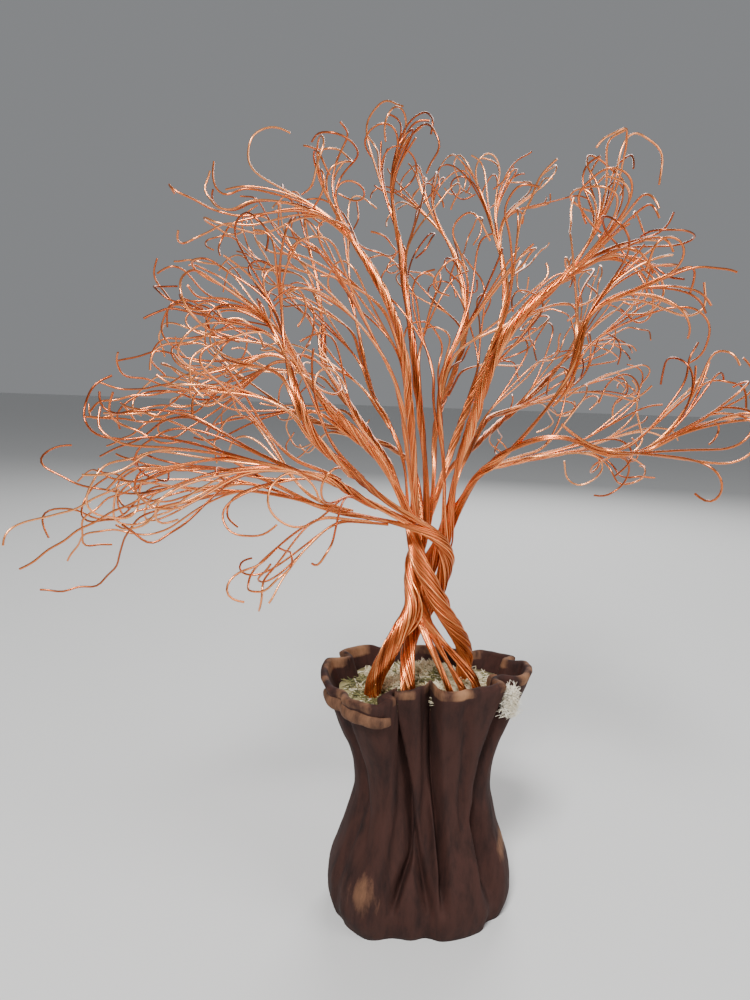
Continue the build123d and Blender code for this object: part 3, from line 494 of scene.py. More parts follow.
def heading(forward, sideways, degrees):
    """The direction reached by turning from forward towards sideways."""
    t = math.radians(degrees)
    return plus(plus((0, 0, 0), forward, math.cos(t)), sideways, math.sin(t))


def wire_end(start, tangent, aim):
    """One way for a loose wire to run: along its twig, a sway, then straight, hooked or looped."""
    chance = dice.random()
    lead = plus(start, tangent, 1.6)
    share = 0.66 + 0.40 * dice.random()
    if chance < HOOKED + LOOPED:
        share = 0.44 + 0.44 * dice.random()
    aim = plus(lead, minus(aim, lead), share)
    chord = minus(aim, lead)
    n1, n2 = frame_of(unit(chord))
    sway = [(dice.random() - 0.5) * 0.40 * length(chord) for _ in range(4)]
    one = plus(plus(plus(lead, chord, 0.33), n1, sway[0]), n2, sway[1])
    two = plus(plus(plus(lead, chord, 0.68), n1, sway[2]), n2, sway[3])
    route = [start, lead, one, two, aim]
    if chance > HOOKED + LOOPED:
        return route
    if chance < LOOPED:
        route = route[:4]
        legs, leg, turn = 4 + int(3 * dice.random()), 4.2 + 2.8 * dice.random(), 46
    else:
        legs, leg, turn = 2 + int(2 * dice.random()), 3.8 + 2.6 * dice.random(), 58
    forward = unit(minus(route[-1], route[-2]))
    a = 2 * math.pi * dice.random()
    m1, m2 = frame_of(forward)
    sideways = plus(plus((0, 0, 0), m1, math.cos(a)), m2, math.sin(a))
    for k in range(legs):
        route.append(plus(route[-1], heading(forward, sideways, turn * (k + 0.6)), leg))
    return route


def fray(twig, limb, reach):
    """Lets the wires of a twig part, each one by the first way found that clears the rest."""
    point, tangent, w = ends[twig]
    span = length(minus(reach, point))
    u, v = frame_of(unit(minus(reach, point)))
    aims = []
    for j in range(w):
        a = 2 * math.pi * (j + 0.5 * dice.random()) / w
        wide = span * (0.18 + 0.22 * dice.random())
        aims.append(plus(plus(reach, u, wide * math.cos(a)), v, wide * math.sin(a)))
    starts = spread(point, tangent, w, aims)
    for j in range(w):
        name = "%s_tip_%d" % (twig, j)
        kin = {twig: 3.2, limb: 3.2}
        for i in range(w):
            kin["%s_tip_%d" % (twig, i)] = 2.2
        best = None
        for _ in range(90):
            route = wire_end(starts[j], tangent, aims[j])
            fault = 0.0 if inside(route) else -3.0
            if bend_radius(route, 9.0) < 1.0:
                fault -= 2.0
            fault += clash(route, 0.5 * WIRE, kin, 0.12)
            if best is None or fault > best[0]:
                best = (fault, route)
            if fault == 0.0:
                break
        lay(name, 1, best[1], 9.0)


for limb, twigs in TWIGS.items():
    for k, (w, end, reach) in enumerate(twigs):
        fray("%s_twig_%d" % (limb, k), limb, reach)


def place_on(route, share):
    """A point part of the way along a route, and the direction there."""
    whole = sum(length(minus(b, a)) for a, b in zip(route, route[1:]))
    left = share * whole
    for a, b in zip(route, route[1:]):
        d = length(minus(b, a))
        if left <= d:
            return plus(a, minus(b, a), left / d), unit(minus(b, a))
        left -= d
    return route[-1], unit(minus(route[-1], route[-2]))


MIDDLE = (-5.0, 8.0, 165.0)
for limb in SHOOT_LIMBS:
    radius, route, bend = routes[limb]
    thin = bundle_radius(SHOOT_WIRES)
    for k, share in enumerate(SHOOT_PLACES):
        point, tangent = place_on(route, share)
        outward = unit(minus(point, MIDDLE))
        u, v = frame_of(tangent)
        shoot = "%s_shoot_%d" % (limb, k)
        best = None
        for _ in range(40):
            a = 2 * math.pi * dice.random()
            side = plus(plus((0, 0, 0), u, math.cos(a)), v, math.sin(a))
            start = plus(point, side, radius + thin + 0.12)
            away = unit(plus(plus(side, tangent, 0.9), outward, 0.35))
            reach = 9.0 + 9.0 * dice.random()
            along = plus(plus(start, tangent, 2.2), side, 0.7)
            half = plus(plus(along, away, 0.5 * reach), tangent, 0.12 * reach)
            trial = [start, along, half, plus(along, away, reach)]
            fault = clash(trial, thin, {limb: 2.5}) if inside(trial) else -9.0
            if bend_radius(trial, 7.0) < 1.2:
                fault -= 2.0
            if best is None or fault > best[0]:
                best = (fault, trial, away)
            if fault == 0.0:
                break
        if best[0] < 0.0:
            continue
        lay(shoot, SHOOT_WIRES, best[1], 7.0)
        reach = plus(best[1][-1], best[2], 15.0 + 14.0 * dice.random())
        fray(shoot, limb, reach)


# ---- meshes ----
def make_object(name, verts, faces, material, tones=None, smooth=True):
    """One mesh from millimetre points, with a tone for every point that its material reads."""
    mesh = bpy.data.meshes.new(name)
    mesh.from_pydata([tuple(v) for v in np.asarray(verts) * MM], [], faces)
    if smooth:
        mesh.polygons.foreach_set("use_smooth", [True] * len(mesh.polygons))
    if tones is not None:
        layer = mesh.attributes.new("tone", "FLOAT_COLOR", "POINT")
        layer.data.foreach_set("color", np.asarray(tones, dtype=np.float32).ravel())
    mesh.materials.append(material)
    mesh.validate()
    obj = bpy.data.objects.new(name, mesh)
    bpy.context.scene.collection.objects.link(obj)
    return obj


def walls(rows, around):
    """The faces between rows of points, each row a closed ring."""
    return [(a + i, a + (i + 1) % around, a + around + (i + 1) % around, a + around + i)
            for a in range(0, (rows - 1) * around, around) for i in range(around)]


def closed(rows, around):
    """The same, with the first and the last ring filled in."""
    last = (rows - 1) * around
    return walls(rows, around) + [tuple(range(around - 1, -1, -1)), tuple(range(last, last + around))]


def settle(obj, slot, *nodes):
    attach(obj, "root")
    if nodes:
        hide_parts(*nodes)


# ---- wires ----
STEP = 1.5            # spacing of the rings along a wire
SIDES = 7             # sides of a wire
STRAY = 0.05          # share of a strand's wires that bow out of it
TURN_LENGTH = 46.0    # length in which a strand's wires turn once about each other
LIMB_TURN = 0.62      # the same length for limbs and twigs, as a share of the strand's
GOLDEN_TURN = math.radians(137.508)
MEETING = 6.0         # reach, in points, of the easing where two bundles meet
EASE_ALL = 3          # easing passes over the whole wire
EASE_MEETINGS = 44    # easing passes in all, the rest of them only where bundles meet


def rounded(route):
    """The route as a smooth line: corners cut four times, then evenly spaced points."""
    pts = np.array(route, dtype=float)
    for _ in range(4):
        a, b = pts[:-1], pts[1:]
        cut = np.empty((2 * len(a), 3))
        cut[0::2] = 0.75 * a + 0.25 * b
        cut[1::2] = 0.25 * a + 0.75 * b
        pts = np.vstack([pts[:1], cut, pts[-1:]])
    return even(pts, STEP)


def even(pts, step):
    run = np.concatenate([[0.0], np.cumsum(np.linalg.norm(np.diff(pts, axis=0), axis=1))])
    count = max(3, int(round(run[-1] / step)) + 1)
    at = np.linspace(0.0, run[-1], count)
    return np.stack([np.interp(at, run, pts[:, i]) for i in range(3)], axis=1)


def frames_along(pts):
    """Unit tangents and a pair of cross directions carried along the line without spin."""
    t = np.gradient(pts, axis=0)
    t /= np.linalg.norm(t, axis=1)[:, None]
    u = np.empty_like(t)
    start = np.cross(t[0], (0.0, 0.0, 1.0))
    if np.linalg.norm(start) < 0.05:
        start = np.cross(t[0], (0.0, 1.0, 0.0))
    u[0] = start / np.linalg.norm(start)
    for i in range(1, len(t)):
        w = u[i - 1] - t[i] * np.dot(u[i - 1], t[i])
        u[i] = w / np.linalg.norm(w)
    return t, u, np.cross(t, u)


def packed(count, radius):
    """Places for wires across a bundle, in a sunflower's order."""
    if count == 1:
        return np.zeros((1, 2))
    k = np.arange(count)
    r = (radius - 0.5 * WIRE) * np.sqrt((k + 0.5) / count) * 1.04
    a = k * GOLDEN_TURN
    return np.stack([r * np.cos(a), r * np.sin(a)], axis=1)


def lanes(name, loose):
    """The path of every wire in a bundle, from its first end to its last."""
    radius, route, _ = routes[name]
    wires = ends[name][2]
    line = rounded(route)
    _, u, v = frames_along(line)
    run = np.linspace(0.0, 1.0, len(line))
    length_mm = len(line) * STEP
    spot = packed(wires, radius)
    hand = -1.0 if name.startswith("strand_") or shade.random() < 0.5 else 1.0
    pitch = TURN_LENGTH if name.startswith("strand_") else LIMB_TURN * TURN_LENGTH
    turn = hand * run * length_mm / pitch * 2 * math.pi
    out = []
    for k in range(wires):
        a = np.cos(turn) * spot[k, 0] - np.sin(turn) * spot[k, 1]
        b = np.sin(turn) * spot[k, 0] + np.cos(turn) * spot[k, 1]
        puff = loose * np.sin(math.pi * run) ** 2
        wave = shade.uniform(0, 6.28)
        size = shade.uniform(0.3, 1.0)
        if loose < 0.12 and shade.random() < STRAY:
            place = shade.uniform(0.25, 0.75)
            puff = puff + 1.1 * np.exp(-((run - place) / 0.09) ** 2)
            swell = 1.0 + puff
        else:
            swell = 1.0 + puff * size * np.sin(run * length_mm * 0.14 + wave)
        path = line + u * (a * swell)[:, None] + v * (b * swell)[:, None]
        if wires == 1:
            path = path + kinks(run * length_mm, u, v)
        out.append(path)
    return out


def kinks(along, u, v):
    """The small waves left in a loose wire by bending it by hand."""
    grow = np.clip(along / 6.0, 0.0, 1.0)
    move = np.zeros((len(along), 3))
    for side in (u, v):
        for _ in range(2):
            size = shade.uniform(0.15, 0.55)
            period = shade.uniform(7.0, 17.0)
            wave = np.sin(2 * math.pi * along / period + shade.uniform(0, 6.28))
            move += side * (grow * size * wave)[:, None]
    return move


def pair_up(heads, tails):
    """Pairs each head with the nearest free tail."""
    gaps = np.linalg.norm(heads[:, None, :] - tails[None, :, :], axis=2)
    order = np.argsort(gaps, axis=None)
    mate = [-1] * len(heads)
    used = set()
    for flat in order:
        i, j = divmod(int(flat), len(tails))
        if mate[i] < 0 and j not in used:
            mate[i] = j
            used.add(j)
    return mate


shade = random.Random(5)
LOOSE = {"strand": 0.08, "limb": 0.42, "twig": 0.6, "tip": 0.0}
paths = {}            # bundle name: its wires' paths
for name in routes:
    kind = "tip" if "_tip_" in name else "twig" if "_twig_" in name or "_shoot_" in name else "limb"
    if name.startswith("strand_") or name.startswith("right_root_"):
        kind = "strand"
    paths[name] = lanes(name, LOOSE[kind])

children = {name: list(limbs) for name, limbs in LIMBS.items()}
for name, limbs in SUB_LIMBS.items():
    children[name] = list(limbs)
for limb, twigs in TWIGS.items():
    children[limb] = ["%s_twig_%d" % (limb, k) for k in range(len(twigs))]
shoots = [name for name in routes if "_shoot_" in name and "_tip_" not in name]
for name in list(routes):
    if ("_twig_" in name or "_shoot_" in name) and "_tip_" not in name:
        children[name] = ["%s_tip_%d" % (name, j) for j in range(ends[name][2])]


def follow(name, k):
    """The chain of (bundle, wire) that one wire runs through from this bundle outward."""
    chain = [(name, k)]
    while chain[-1] in onward:
        chain.append(onward[chain[-1]])
    return chain


onward = {}
for parent, kids in children.items():
    heads = np.array([p[-1] for p in paths[parent]])
    tails = []
    owners = []
    for kid in kids:
        for k, p in enumerate(paths[kid]):
            tails.append(p[0])
            owners.append((kid, k))
    for i, j in enumerate(pair_up(heads, np.array(tails))):
        onward[(parent, i)] = owners[j]
below = ["right_root_0", "right_root_1", "right_root_2"]
heads = []
owners = []
for name in below:
    for k, p in enumerate(paths[name]):
        heads.append(p[-1])
        owners.append((name, k))
for i, j in enumerate(pair_up(np.array(heads), np.array([p[0] for p in paths["strand_right"]]))):
    onward[owners[i]] = ("strand_right", j)


def eased(pts, owner):
    """Evens out the steps where bundles meet, without moving the wire's two ends."""
    steps = np.arange(len(pts))
    near = np.zeros(len(pts))
    for fork_at in np.nonzero(np.diff(owner))[0]:
        near = np.maximum(near, np.exp(-((steps - fork_at) / MEETING) ** 2))
    for k in range(EASE_MEETINGS):
        share = np.where(k < EASE_ALL, 1.0, near)[1:-1, None]
        mid = 0.25 * pts[:-2] + 0.5 * pts[1:-1] + 0.25 * pts[2:]
        pts = np.vstack([pts[:1], pts[1:-1] * (1.0 - share) + mid * share, pts[-1:]])
    return pts


def group_of(bundle):
    """The piece that a bundle's stretch of wire belongs to."""
    if bundle.startswith("strand_"):
        return bundle
    if bundle.startswith("right_root_"):
        return "right_roots"
    limb = bundle.split("_twig_")[0].split("_shoot_")[0]
    for group, limbs in CROWN.items():
        if limb in limbs:
            return "crown_" + group
    return "crown_right"


def trimmed(path, head, tail):
    """A bundle's stretch of a wire, cut back where it meets the next so that it can lead over."""
    cut = 3 if len(path) > 16 else 1 if len(path) > 6 else 0
    return path[cut if head else 0:len(path) - (cut if tail else 0)]


def run_up(shoot, first):
    """Where a side shoot's wire lies along its limb before it leaves it."""
    line = rounded(routes[shoot.split("_shoot_")[0]][1])
    at = int(np.argmin(np.linalg.norm(line - first, axis=1)))
    away = first - line[at]
    back = line[max(0, at - 9):at]
    rise = np.linspace(0.55, 1.0, len(back))[:, None] if len(back) else np.zeros((0, 1))
    return back + away * rise


stretches = {}        # piece: list of points and tone of each wire in it
for name in ["strand_left", "strand_centre", "strand_back"] + below + shoots:
    for k in range(ends[name][2]):
        chain = follow(name, k)
        tone = shade.random()
        parts = [trimmed(paths[b][i], n > 0, n < len(chain) - 1) for n, (b, i) in enumerate(chain)]
        pts = np.vstack(parts)
        owner = np.concatenate([[n] * len(part) for n, part in enumerate(parts)])
        if name in shoots:
            lead = run_up(name, pts[0])
            pts = np.vstack([lead, pts])
            owner = np.concatenate([[0] * len(lead), owner])
        pts = eased(pts, owner)
        pieces_of = [group_of(b) for b, _ in chain]
        start = 0
        for n in range(1, len(pts) + 1):
            if n == len(pts) or pieces_of[owner[n]] != pieces_of[owner[start]]:
                stop = min(n + 1, len(pts))
                stretches.setdefault(pieces_of[owner[start]], []).append((pts[start:stop], tone))
                start = n


def wire_mesh(runs, radius=0.5 * WIRE):
    """Round wires along several runs of points, with a tone each. The end caps have their own
    points, so that the wire's side is not shaded toward its cut end."""
    verts, faces, tones = [], [], []
    base = 0
    angle = np.linspace(0.0, 2 * math.pi, SIDES, endpoint=False)
    for pts, tone in runs:
        gap = np.linalg.norm(np.diff(pts, axis=0), axis=1)
        keep = np.concatenate([[True], gap > 0.15])
        pts = pts[keep]
        if len(pts) < 3:
            continue
        _, u, v = frames_along(pts)
        ring_pts = (pts[:, None, :] + radius * (u[:, None, :] * np.cos(angle)[None, :, None]
                                                + v[:, None, :] * np.sin(angle)[None, :, None]))
        n = len(pts)
        verts += [ring_pts.reshape(-1, 3), ring_pts[0], ring_pts[-1]]
        cap = base + n * SIDES
        faces += [tuple(base + k for k in face) for face in walls(n, SIDES)]
        faces += [tuple(range(cap + SIDES - 1, cap - 1, -1)), tuple(range(cap + SIDES, cap + 2 * SIDES))]
        tones.append(np.tile([tone, tone, tone, 1.0], ((n + 2) * SIDES, 1)))
        base += (n + 2) * SIDES
    return np.vstack(verts), faces, np.vstack(tones)


# ---- materials ----
def new_material(name):
    material = bpy.data.materials.new(name)
    material.use_nodes = True
    tree = material.node_tree
    return material, tree, tree.nodes["Principled BSDF"]


def ramp(tree, stops):
    node = tree.nodes.new("ShaderNodeValToRGB")
    node.color_ramp.elements[0].position = stops[0][0]
    node.color_ramp.elements[0].color = (*stops[0][1], 1.0)
    node.color_ramp.elements[1].position = stops[-1][0]
    node.color_ramp.elements[1].color = (*stops[-1][1], 1.0)
    for place, colour in stops[1:-1]:
        node.color_ramp.elements.new(place).color = (*colour, 1.0)
    return node


def fill_in(node, **values):
    """Sets inputs by name, with underscores for spaces."""
    for name, value in values.items():
        node.inputs[name.replace("_", " ")].default_value = value


def new_node(tree, kind, **values):
    node = tree.nodes.new("ShaderNode" + kind)
    fill_in(node, **values)
    return node


def tone_of(tree):
    tone = new_node(tree, "Attribute")
    tone.attribute_name = "tone"
    return tone


def join(tree, *links):
    for source, output, target, place in links:
        tree.links.new(source.outputs[output], target.inputs[place])


def fibre(name, stops):
    """A dull material whose colour runs through the stops as the tone rises."""
    material, tree, shader = new_material(name)
    colours = ramp(tree, stops)
    join(tree, (tone_of(tree), "Fac", colours, "Fac"), (colours, "Color", shader, "Base Color"))
    fill_in(shader, Roughness=0.85)
    return material


def clay(name, dark, mid, pale_colour):
    """Matte clay; the tone says how much of the paler colour shows at each point."""
    material, tree, shader = new_material(name)
    tone = tone_of(tree)
    where = new_node(tree, "TexCoord")
    stretch = new_node(tree, "Mapping", Scale=(260, 260, 70))
    streak = new_node(tree, "TexNoise", Scale=1.0, Detail=6.0, Roughness=0.65)
    body = ramp(tree, [(0.3, dark), (0.55, mid), (0.8, tuple(1.25 * c for c in mid))])
    lift = new_node(tree, "Math")
    lift.operation = "MULTIPLY_ADD"
    lift.inputs[1].default_value = 0.5
    edge = ramp(tree, [(0.52, (0, 0, 0)), (0.95, (1, 1, 1))])
    mix = new_node(tree, "Mix")
    mix.data_type = "RGBA"
    fill_in(mix, B=(*pale_colour, 1.0))
    grain = new_node(tree, "TexNoise", Scale=900.0, Detail=4.0)
    bump = new_node(tree, "Bump", Strength=0.22, Distance=0.0004)
    join(tree, (where, "Object", stretch, "Vector"), (stretch, "Vector", streak, "Vector"),
         (streak, "Fac", body, "Fac"), (streak, "Fac", lift, 0), (tone, "Fac", lift, 2),
         (lift, "Value", edge, "Fac"), (edge, "Color", mix, "Factor"), (body, "Color", mix, "A"),
         (mix, "Result", shader, "Base Color"), (where, "Object", grain, "Vector"),
         (grain, "Fac", bump, "Height"), (bump, "Normal", shader, "Normal"))
    fill_in(shader, Roughness=0.82, Specular_IOR_Level=0.25)
    return material


def copper():
    """Bare copper; each wire's tone makes it a little darker or brighter than its neighbours."""
    material, tree, shader = new_material("copper")
    colours = ramp(tree, [(0.0, (0.40, 0.085, 0.020)), (0.5, (0.78, 0.215, 0.055)), (1.0, (1.0, 0.38, 0.13))])
    join(tree, (tone_of(tree), "Fac", colours, "Fac"), (colours, "Color", shader, "Base Color"))
    fill_in(shader, Metallic=0.92, Roughness=0.24, Coat_Weight=0.25, Coat_Roughness=0.06)
    return material


COPPER = copper()
CLAY = clay("clay", (0.014, 0.0055, 0.0045), (0.040, 0.0145, 0.0105), (0.40, 0.20, 0.10))
MOSS = fibre("moss", [(0.0, (0.055, 0.060, 0.018)), (0.30, (0.22, 0.20, 0.07)),
                      (0.42, (0.55, 0.46, 0.26)), (1.0, (0.88, 0.81, 0.62))])
PLASTER = fibre("plaster", [(0.0, (0.5, 0.47, 0.42)), (1.0, (0.6, 0.57, 0.52))])
FIBRE = fibre("fibre", [(0.0, (0.60, 0.50, 0.32)), (1.0, (0.92, 0.88, 0.76))])

crown_nodes = {"crown_" + g: ["limb_" + n for n in limbs] + ["twigs_" + g, "tips_" + g]
               for g, limbs in CROWN.items()}
crown_nodes["crown_right"].append("limb_right_reach")
for piece, runs in stretches.items():
    verts, faces, tones = wire_mesh(runs)
    obj = make_object("wires_" + piece, verts, faces, COPPER, tones)
    settle(obj, "copper", *crown_nodes.get(piece, [piece]))


# ---- pot ----
# How far the rim stands above its height in the CAD, by place round the outline in degrees.
RIM_LIFT = [(0, 1.5), (30, 0.5), (75, -1.5), (120, 0.5), (165, 0.5), (205, -2.0), (240, -1.0), (262, 0.5),
            (285, 0.5), (310, 1.8), (335, 2.0), (360, 1.5)]
POT_ROWS = 60
POT_AROUND = 360
WAIST_SLIM = 0.07     # share of the width taken off at the waist
WAIST_AT = 42.0       # height of the waist

# Sharp creases pressed into the front of the slab: height and x of each, from the top down.
CREASES = [
    [(74, -13.2), (60, -9.9), (44, -5.8), (32, -4.5), (23, -4.7), (14, -8.1), (10, -9.0)],
    [(75, 0.2), (62, 1.3), (45, 2.7), (32, 4.6), (20, 6.1), (10, 6.4)],
    [(34, -4.2), (20, -1.1), (9, 2.0)],
    [(33, 15.5), (20, 18.6), (10, 20.6)],
    [(70, 10.5), (55, 11.5), (40, 11.0), (28, 11.8)],
    [(60, -23.5), (48, -19.0), (36, -17.0), (24, -18.5)],
]
CREASE_DEPTHS = [5.6, 5.6, 3.4, 3.4, 1.3, 1.2]
CREASE_WIDTH = 1.25


def pressed(x, y, z):
    """How far the creases move a point of the slab in toward the pot's axis."""
    if y > -6.0:
        return 0.0
    deep = 0.0
    for track, depth in zip(CREASES, CREASE_DEPTHS):
        top, bottom = track[0][0], track[-1][0]
        share = min(1.0, max(0.0, (z - bottom + 3.0) / 8.0)) * min(1.0, max(0.0, (top - z + 6.0) / 8.0))
        at = float(np.interp(z, [t[0] for t in track[::-1]], [t[1] for t in track[::-1]]))
        gap = (x - at) / CREASE_WIDTH
        deep = max(deep, depth * share / (1.0 + gap * gap + 0.4 * gap ** 4))
        deep -= 0.22 * depth * share * math.exp(-((abs(x - at) - 4.6) / 2.6) ** 2)
    return deep


def level_at(z):
    """Width, depth and folding of the pot at one height, eased between the levels."""
    zs = [lv[0] for lv in POT_LEVELS]
    width, depth, fold = [float(np.interp(z, zs, [lv[i] for lv in POT_LEVELS])) for i in (1, 2, 3)]
    return width * (1.0 - WAIST_SLIM * math.exp(-((z - WAIST_AT) / 13.0) ** 2)), depth, fold


def smooth_levels(rows):
    table = np.array([level_at(z) for z in rows])
    for _ in range(3):
        table[1:-1] = 0.25 * table[:-2] + 0.5 * table[1:-1] + 0.25 * table[2:]
    return table


def pot_mesh():
    """Outside, rounded lip, inside and foot of the folded slab, as one closed surface."""
    rows = np.linspace(0.0, POT_H, POT_ROWS)
    around = POT_AROUND
    table = smooth_levels(rows)
    lift = np.interp(np.arange(around), [a for a, _ in RIM_LIFT], [b for _, b in RIM_LIFT])
    outer, inner = [], []
    for z, (width, depth, fold) in zip(rows, table):
        pts = outline(width, depth, fold)
        near = inside_of(pts, WALL)
        rise = (z / POT_H) ** 4
        zz = z + lift * rise
        outer.append(np.column_stack([np.array(pts)[::2], zz]))
        inner.append(np.column_stack([np.array(near)[::2], zz]))
    outer, inner = np.array(outer), np.array(inner)
    lip = []
    for a in np.linspace(0.0, math.pi, 7)[1:-1]:
        mid = 0.5 * (outer[-1] + inner[-1])
        half = 0.5 * (outer[-1] - inner[-1])
        row = mid + half * math.cos(a)
        row[:, 2] += 1.1 * math.sin(a)
        lip.append(row)
    foot = 0.5 * (outer[0] + inner[0])
    sheets = np.concatenate([outer, np.array(lip), inner[::-1], foot[None]])
    n = len(sheets)
    verts = sheets.reshape(-1, 3).copy()
    tones = np.zeros((len(verts), 4))
    tones[:, 3] = 1.0
    for k in range(len(verts)):
        row = k // around
        x, y, z = verts[k]
        rough = noise.fractal(Vector((x * 0.11, y * 0.11, z * 0.07)), 1.0, 2.0, 3)
        fine = noise.noise(Vector((x * 0.5, y * 0.5, z * 0.16)))
        r = math.hypot(x, y)
        push = 0.35 * rough + 0.10 * fine
        if row < POT_ROWS and z > 1.0:
            verts[k, 0] += push * x / r
            verts[k, 1] += push * y / r
        dent = pressed(x, y, min(z, 72.0))
        if row < n - 1:
            verts[k, 0] -= dent * x / r
            verts[k, 1] -= dent * y / r
        if POT_ROWS - 2 <= row <= POT_ROWS + 7:
            verts[k, 2] += 0.35 * noise.noise(Vector((x * 0.25, y * 0.25, 3.0)))
        wear = 0.0
        if row >= POT_ROWS - 2:
            patchy = noise.noise(Vector((x * 0.16, y * 0.16, 9.0)))
            wear = 0.34 + 0.45 * patchy if row <= POT_ROWS + 6 else 0.12
        # Paler colour: worn on the rim, a trace on the inside and the foot, a soft patch low on the front left,
        # and a small spot on the right side.
        patch = math.exp(-((x + 17) / 9.0) ** 2 - ((z - 14) / 11.0) ** 2) if y < 0 else 0.0
        side = math.exp(-((x - 26) / 4.0) ** 2 - ((z - 22) / 6.0) ** 2) if y > -12 else 0.0
        tones[k, :3] = wear + 0.34 * patch + 0.45 * side
    last = (n - 1) * around
    faces = walls(n, around) + [(last + i, last + (i + 1) % around, (i + 1) % around, i) for i in range(around)]
    return verts, faces, tones


verts, faces, tones = pot_mesh()
settle(make_object("pot_slab", verts, faces, CLAY, tones), "clay", "pot_wall")

# The filler under the moss, held clear of the creases.
PLUG_ROWS = 24
PLUG_AROUND = 144
levels = np.linspace(FLOOR_T + 0.3, FILLER_TOP, PLUG_ROWS)
rings = [inside_of(outline(*level_at(z)), WALL + 3.4)[::5] for z in levels]
plug = np.vstack([np.column_stack([ring_pts, np.full(PLUG_AROUND, z)]) for ring_pts, z in zip(rings, levels)])
grey = np.tile([0.5, 0.5, 0.5, 1.0], (len(plug), 1))
faces = closed(PLUG_ROWS, PLUG_AROUND)
settle(make_object("filler_plug", plug, faces, PLASTER, grey), "plaster", "pot_filler")


STRIP_SIDES = 16


def strip(line, wide, tall, tone, taper=0.25):
    """A flattened roll of clay along a line of points, closed at both ends."""
    t, _, _ = frames_along(line)
    up = np.array([0.0, 0.0, 1.0])
    out = np.cross(t, up)
    out /= np.linalg.norm(out, axis=1)[:, None]
    angle = np.linspace(0.0, 2 * math.pi, STRIP_SIDES, endpoint=False)
    n = len(line)
    verts = []
    for i in range(n):
        s = math.sin(math.pi * (0.04 + 0.92 * i / (n - 1))) ** taper
        for a in angle:
            rough = 1.0 + 0.16 * noise.noise(Vector(line[i]) * 0.35 + Vector((a, 0, 0)))
            verts.append(line[i] + out[i] * wide * s * rough * math.cos(a)
                         + up * tall * s * rough * math.sin(a))
    return np.array(verts), closed(n, STRIP_SIDES), np.tile([tone, tone, tone, 1.0], (len(verts), 1))


def slab_line(first, last, z, off):
    """A line that follows the pot's outside between two bearings at one height."""
    pts = np.array(outline(*level_at(z)))[int(first * 2):int(last * 2)]
    t = np.gradient(pts, axis=0)
    t /= np.linalg.norm(t, axis=1)[:, None]
    pts = pts + off * np.stack([t[:, 1], -t[:, 0]], axis=1)
    return even(np.column_stack([pts, np.full(len(pts), z)]), 0.8)


low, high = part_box("rim_hem")
middle = 500.0 * (low[2] + high[2])
verts, faces, tones = strip(slab_line(186, 238, middle, 0.9), 1.0, 2.0, 0.36)
settle(make_object("pot_hem", verts, faces, CLAY, tones), "clay", "rim_hem")

low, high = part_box("rim_curl")
cx, cy = 500.0 * (low[0] + high[0]), 500.0 * (low[1] + high[1])
bottom, top = 1000.0 * low[2], 1000.0 * high[2]
CURL_TURN = 1.5       # turns of the little rolled tongue
CURL_STEPS = 45
curl_pts = []
for k in range(CURL_STEPS + 1):
    a = 2 * math.pi * CURL_TURN * k / CURL_STEPS + 2.2
    r = 0.8 + 1.3 * k / CURL_STEPS
    curl_pts.append((cx + r * math.cos(a), cy + r * math.sin(a), 0.5 * (bottom + top)))
verts, faces, tones = strip(np.array(curl_pts), 0.45, 0.5 * (top - bottom), 0.36, 0.1)
settle(make_object("pot_curl", verts, faces, CLAY, tones), "clay", "rim_curl")


# ---- moss and wood fibre ----
def pointing(bearing, rise):
    return Vector((math.cos(bearing) * math.cos(rise), math.sin(bearing) * math.cos(rise), math.sin(rise)))


def shreds(name, material, count, place, long, thick, lift, patchy, slot, *nodes):
    """A bed of short, bent, four-sided shreds; place gives each one its foot."""
    verts, faces, tones = [], [], []
    legs = 4
    for _ in range(count):
        foot = Vector(place())
        a = strew.uniform(0.0, 2 * math.pi)
        rise = strew.uniform(*lift)
        going = pointing(a, rise)
        size = strew.uniform(0.6, 1.3) * long
        bend = strew.uniform(-1.1, 1.1)
        droop = strew.uniform(0.1, 0.7)
        green = noise.noise(Vector((foot.x * 0.13 + 4.0, foot.y * 0.13, 1.7)))
        tone = strew.uniform(0.38, 1.0)
        if patchy and green - 0.012 * foot.x > strew.uniform(0.12, 0.45):
            tone = strew.uniform(0.0, 0.32)
        base = len(verts)
        at = foot
        for k in range(legs + 1):
            side = going.cross(Vector((0, 0, 1))).normalized()
            over = side.cross(going).normalized()
            r = thick * (1.0 - 0.55 * k / legs)
            for sx, sy in ((1, 0), (0, 0.6), (-1, 0), (0, -0.6)):
                verts.append(at + side * r * sx + over * r * sy)
                tones.append((tone, tone, tone, 1.0))
            at = at + going * size / legs
            a += bend / legs
            rise -= droop / legs
            going = pointing(a, rise)
        faces += [tuple(base + k for k in face) for face in closed(legs + 1, 4)]
    settle(make_object(name, verts, faces, material, tones, smooth=False), slot, *nodes)


strew = random.Random(8)
bed = np.array(inside_of(outline(*level_at(MOSS_TOP)), WALL + 0.8))
for i, (x, y) in enumerate(bed):        # kept behind the creases
    r = math.hypot(x, y)
    bed[i] *= (r - max(0.0, pressed(1.08 * x, 1.08 * y, MOSS_TOP)) - 0.9) / r


def on_bed():
    """A place on the moss: anywhere inside the slab, thinner toward the middle."""
    edge = bed[strew.randrange(len(bed))]
    share = math.sqrt(strew.uniform(0.02, 1.0)) * 0.91
    x, y = edge[0] * share, edge[1] * share
    hump = 0.9 * noise.noise(Vector((x * 0.16, y * 0.16, 0.4)))
    return x, y, MOSS_TOP - 0.9 + hump + strew.uniform(-0.4, 0.8)


